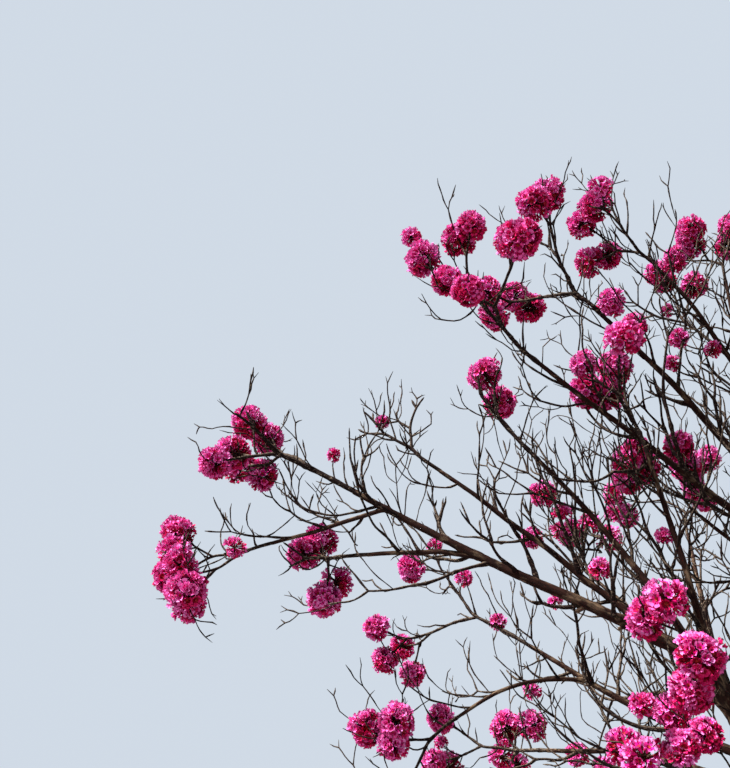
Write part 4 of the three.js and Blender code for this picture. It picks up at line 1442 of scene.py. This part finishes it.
def petal_finish(name, colour):
    finish, tree, shader = new_finish(name)
    values = {"Petal Colour": (*colour, 1), "Unevenness": PETAL_UNEVENNESS}
    dress(tree, shader, uneven, values, PETAL_RELIEF, PETAL_RELIEF_DEPTH, PETAL_SHINE)
    return finish


# %% Set the flowers
# Rose goes mostly to the side of a head that faces the key light, as painted highlight, and crimson mostly
# to the far side, as painted shade; each has a paler plain colour for its rims.
PETALS = {
    "crimson": ((0.27, 0.001, 0.018), (0.76, 0.013, 0.15)),
    "magenta": ((0.54, 0.002, 0.125), (1.0, 0.15, 0.53)),
    "rose": ((0.76, 0.022, 0.3), (1.0, 0.3, 0.72)),
}
head_tree = flower_head_tree()
head_centres = head_mesh()
flower_pieces = []


def set_flowers(name, forms, shade, finish):
    flower_pieces.append(grow_piece(name, head_centres, head_tree, {
        "Forms": forms, "Most Flowers": MOST_FLOWERS, "Cover": HEAD_COVER, "Ragged Share": RAGGED_SHARE,
        "Shade": shade, "Seed": FLOWER_SEED, "Petals": finish}))


for shade, (name, (colour, rim_colour)) in enumerate(PETALS.items()):
    set_flowers(name + "_petals", corollas, shade, petal_finish(name + " petals", colour))
    set_flowers(name + "_rims", rims, shade, petal_finish(name + " rims", rim_colour))
set_flowers("throats", throats, -1, petal_finish("throat", (0.45, 0.045, 0.035)))
set_flowers("calyxes", calyxes, -1, petal_finish("calyx", (0.13, 0.04, 0.03)))

# %% [markdown]
# ## Light and floor
# The light is that of a plain studio: one soft key from the upper left, behind the camera, and a
# pale room that fills the shade. More lamps could pick out single boughs, but one key keeps the
# shade simple. The room looks brighter to the lens than it lights the tree, and the floor is a
# wide plain plane under the trunk.

# %% Light, room and floor
KEY_POWER, KEY_SOFTNESS, KEY_COLOUR = 7.8, 5, (1.0, 0.98, 0.95)
ROOM_COLOUR, ROOM_FILL, ROOM_SEEN = (0.72, 0.8, 0.9, 1), 0.28, 0.88
FLOOR_REACH, FLOOR_COLOUR = 12, (0.3, 0.294, 0.287, 1)
key = bpy.data.lights.new("key", "SUN")
key.energy = KEY_POWER
key.angle = math.radians(KEY_SOFTNESS)
key.color = KEY_COLOUR
new_object("key", key).rotation_euler = Vector(SUN_SIDE).to_track_quat("Z", "Y").to_euler()

room = bpy.data.worlds.new("room")
room.use_nodes = True
room_nodes = room.node_tree
seen = add(room_nodes, "ShaderNodeLightPath", out="Is Camera Ray")
brightness = remap(room_nodes, seen, (0.0, 1.0), (ROOM_FILL, ROOM_SEEN))
fill(room_nodes, room_nodes.nodes["Background"], {"Color": ROOM_COLOUR, "Strength": brightness})
bpy.context.scene.world = room
bpy.context.scene.view_settings.view_transform = "Standard"

corners = [(x * FLOOR_REACH, y * FLOOR_REACH, 0) for x, y in ((-1, -1), (1, -1), (1, 1), (-1, 1))]
floor_mesh = new_mesh("floor", corners, faces=[(0, 1, 2, 3)])
floor_finish, floor_nodes, floor_shader = new_finish("floor")
fill(floor_nodes, floor_shader, {"Base Color": FLOOR_COLOUR, "Roughness": 0.9})
floor_mesh.materials.append(floor_finish)
floor_piece = new_object("floor", floor_mesh)
print("key light from azimuth", SUN_AZIMUTH, "and", SUN_PITCH, "degrees up")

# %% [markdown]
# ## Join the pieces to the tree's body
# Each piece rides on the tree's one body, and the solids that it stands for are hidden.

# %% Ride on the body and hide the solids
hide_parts(*lines)
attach(trunk_and_boughs, "root")
twig_pieces = [twigs, branches, finer_twigs]
for piece, finish_slot in [(p, "bark") for p in twig_pieces] + [(p, "blossom") for p in flower_pieces]:
    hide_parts(*[name + "_blossom" for name in MASSES])
    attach(piece, "root")
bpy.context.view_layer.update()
print("triangles in all:", sum(triangles(p) for p in [trunk_and_boughs] + twig_pieces + flower_pieces))
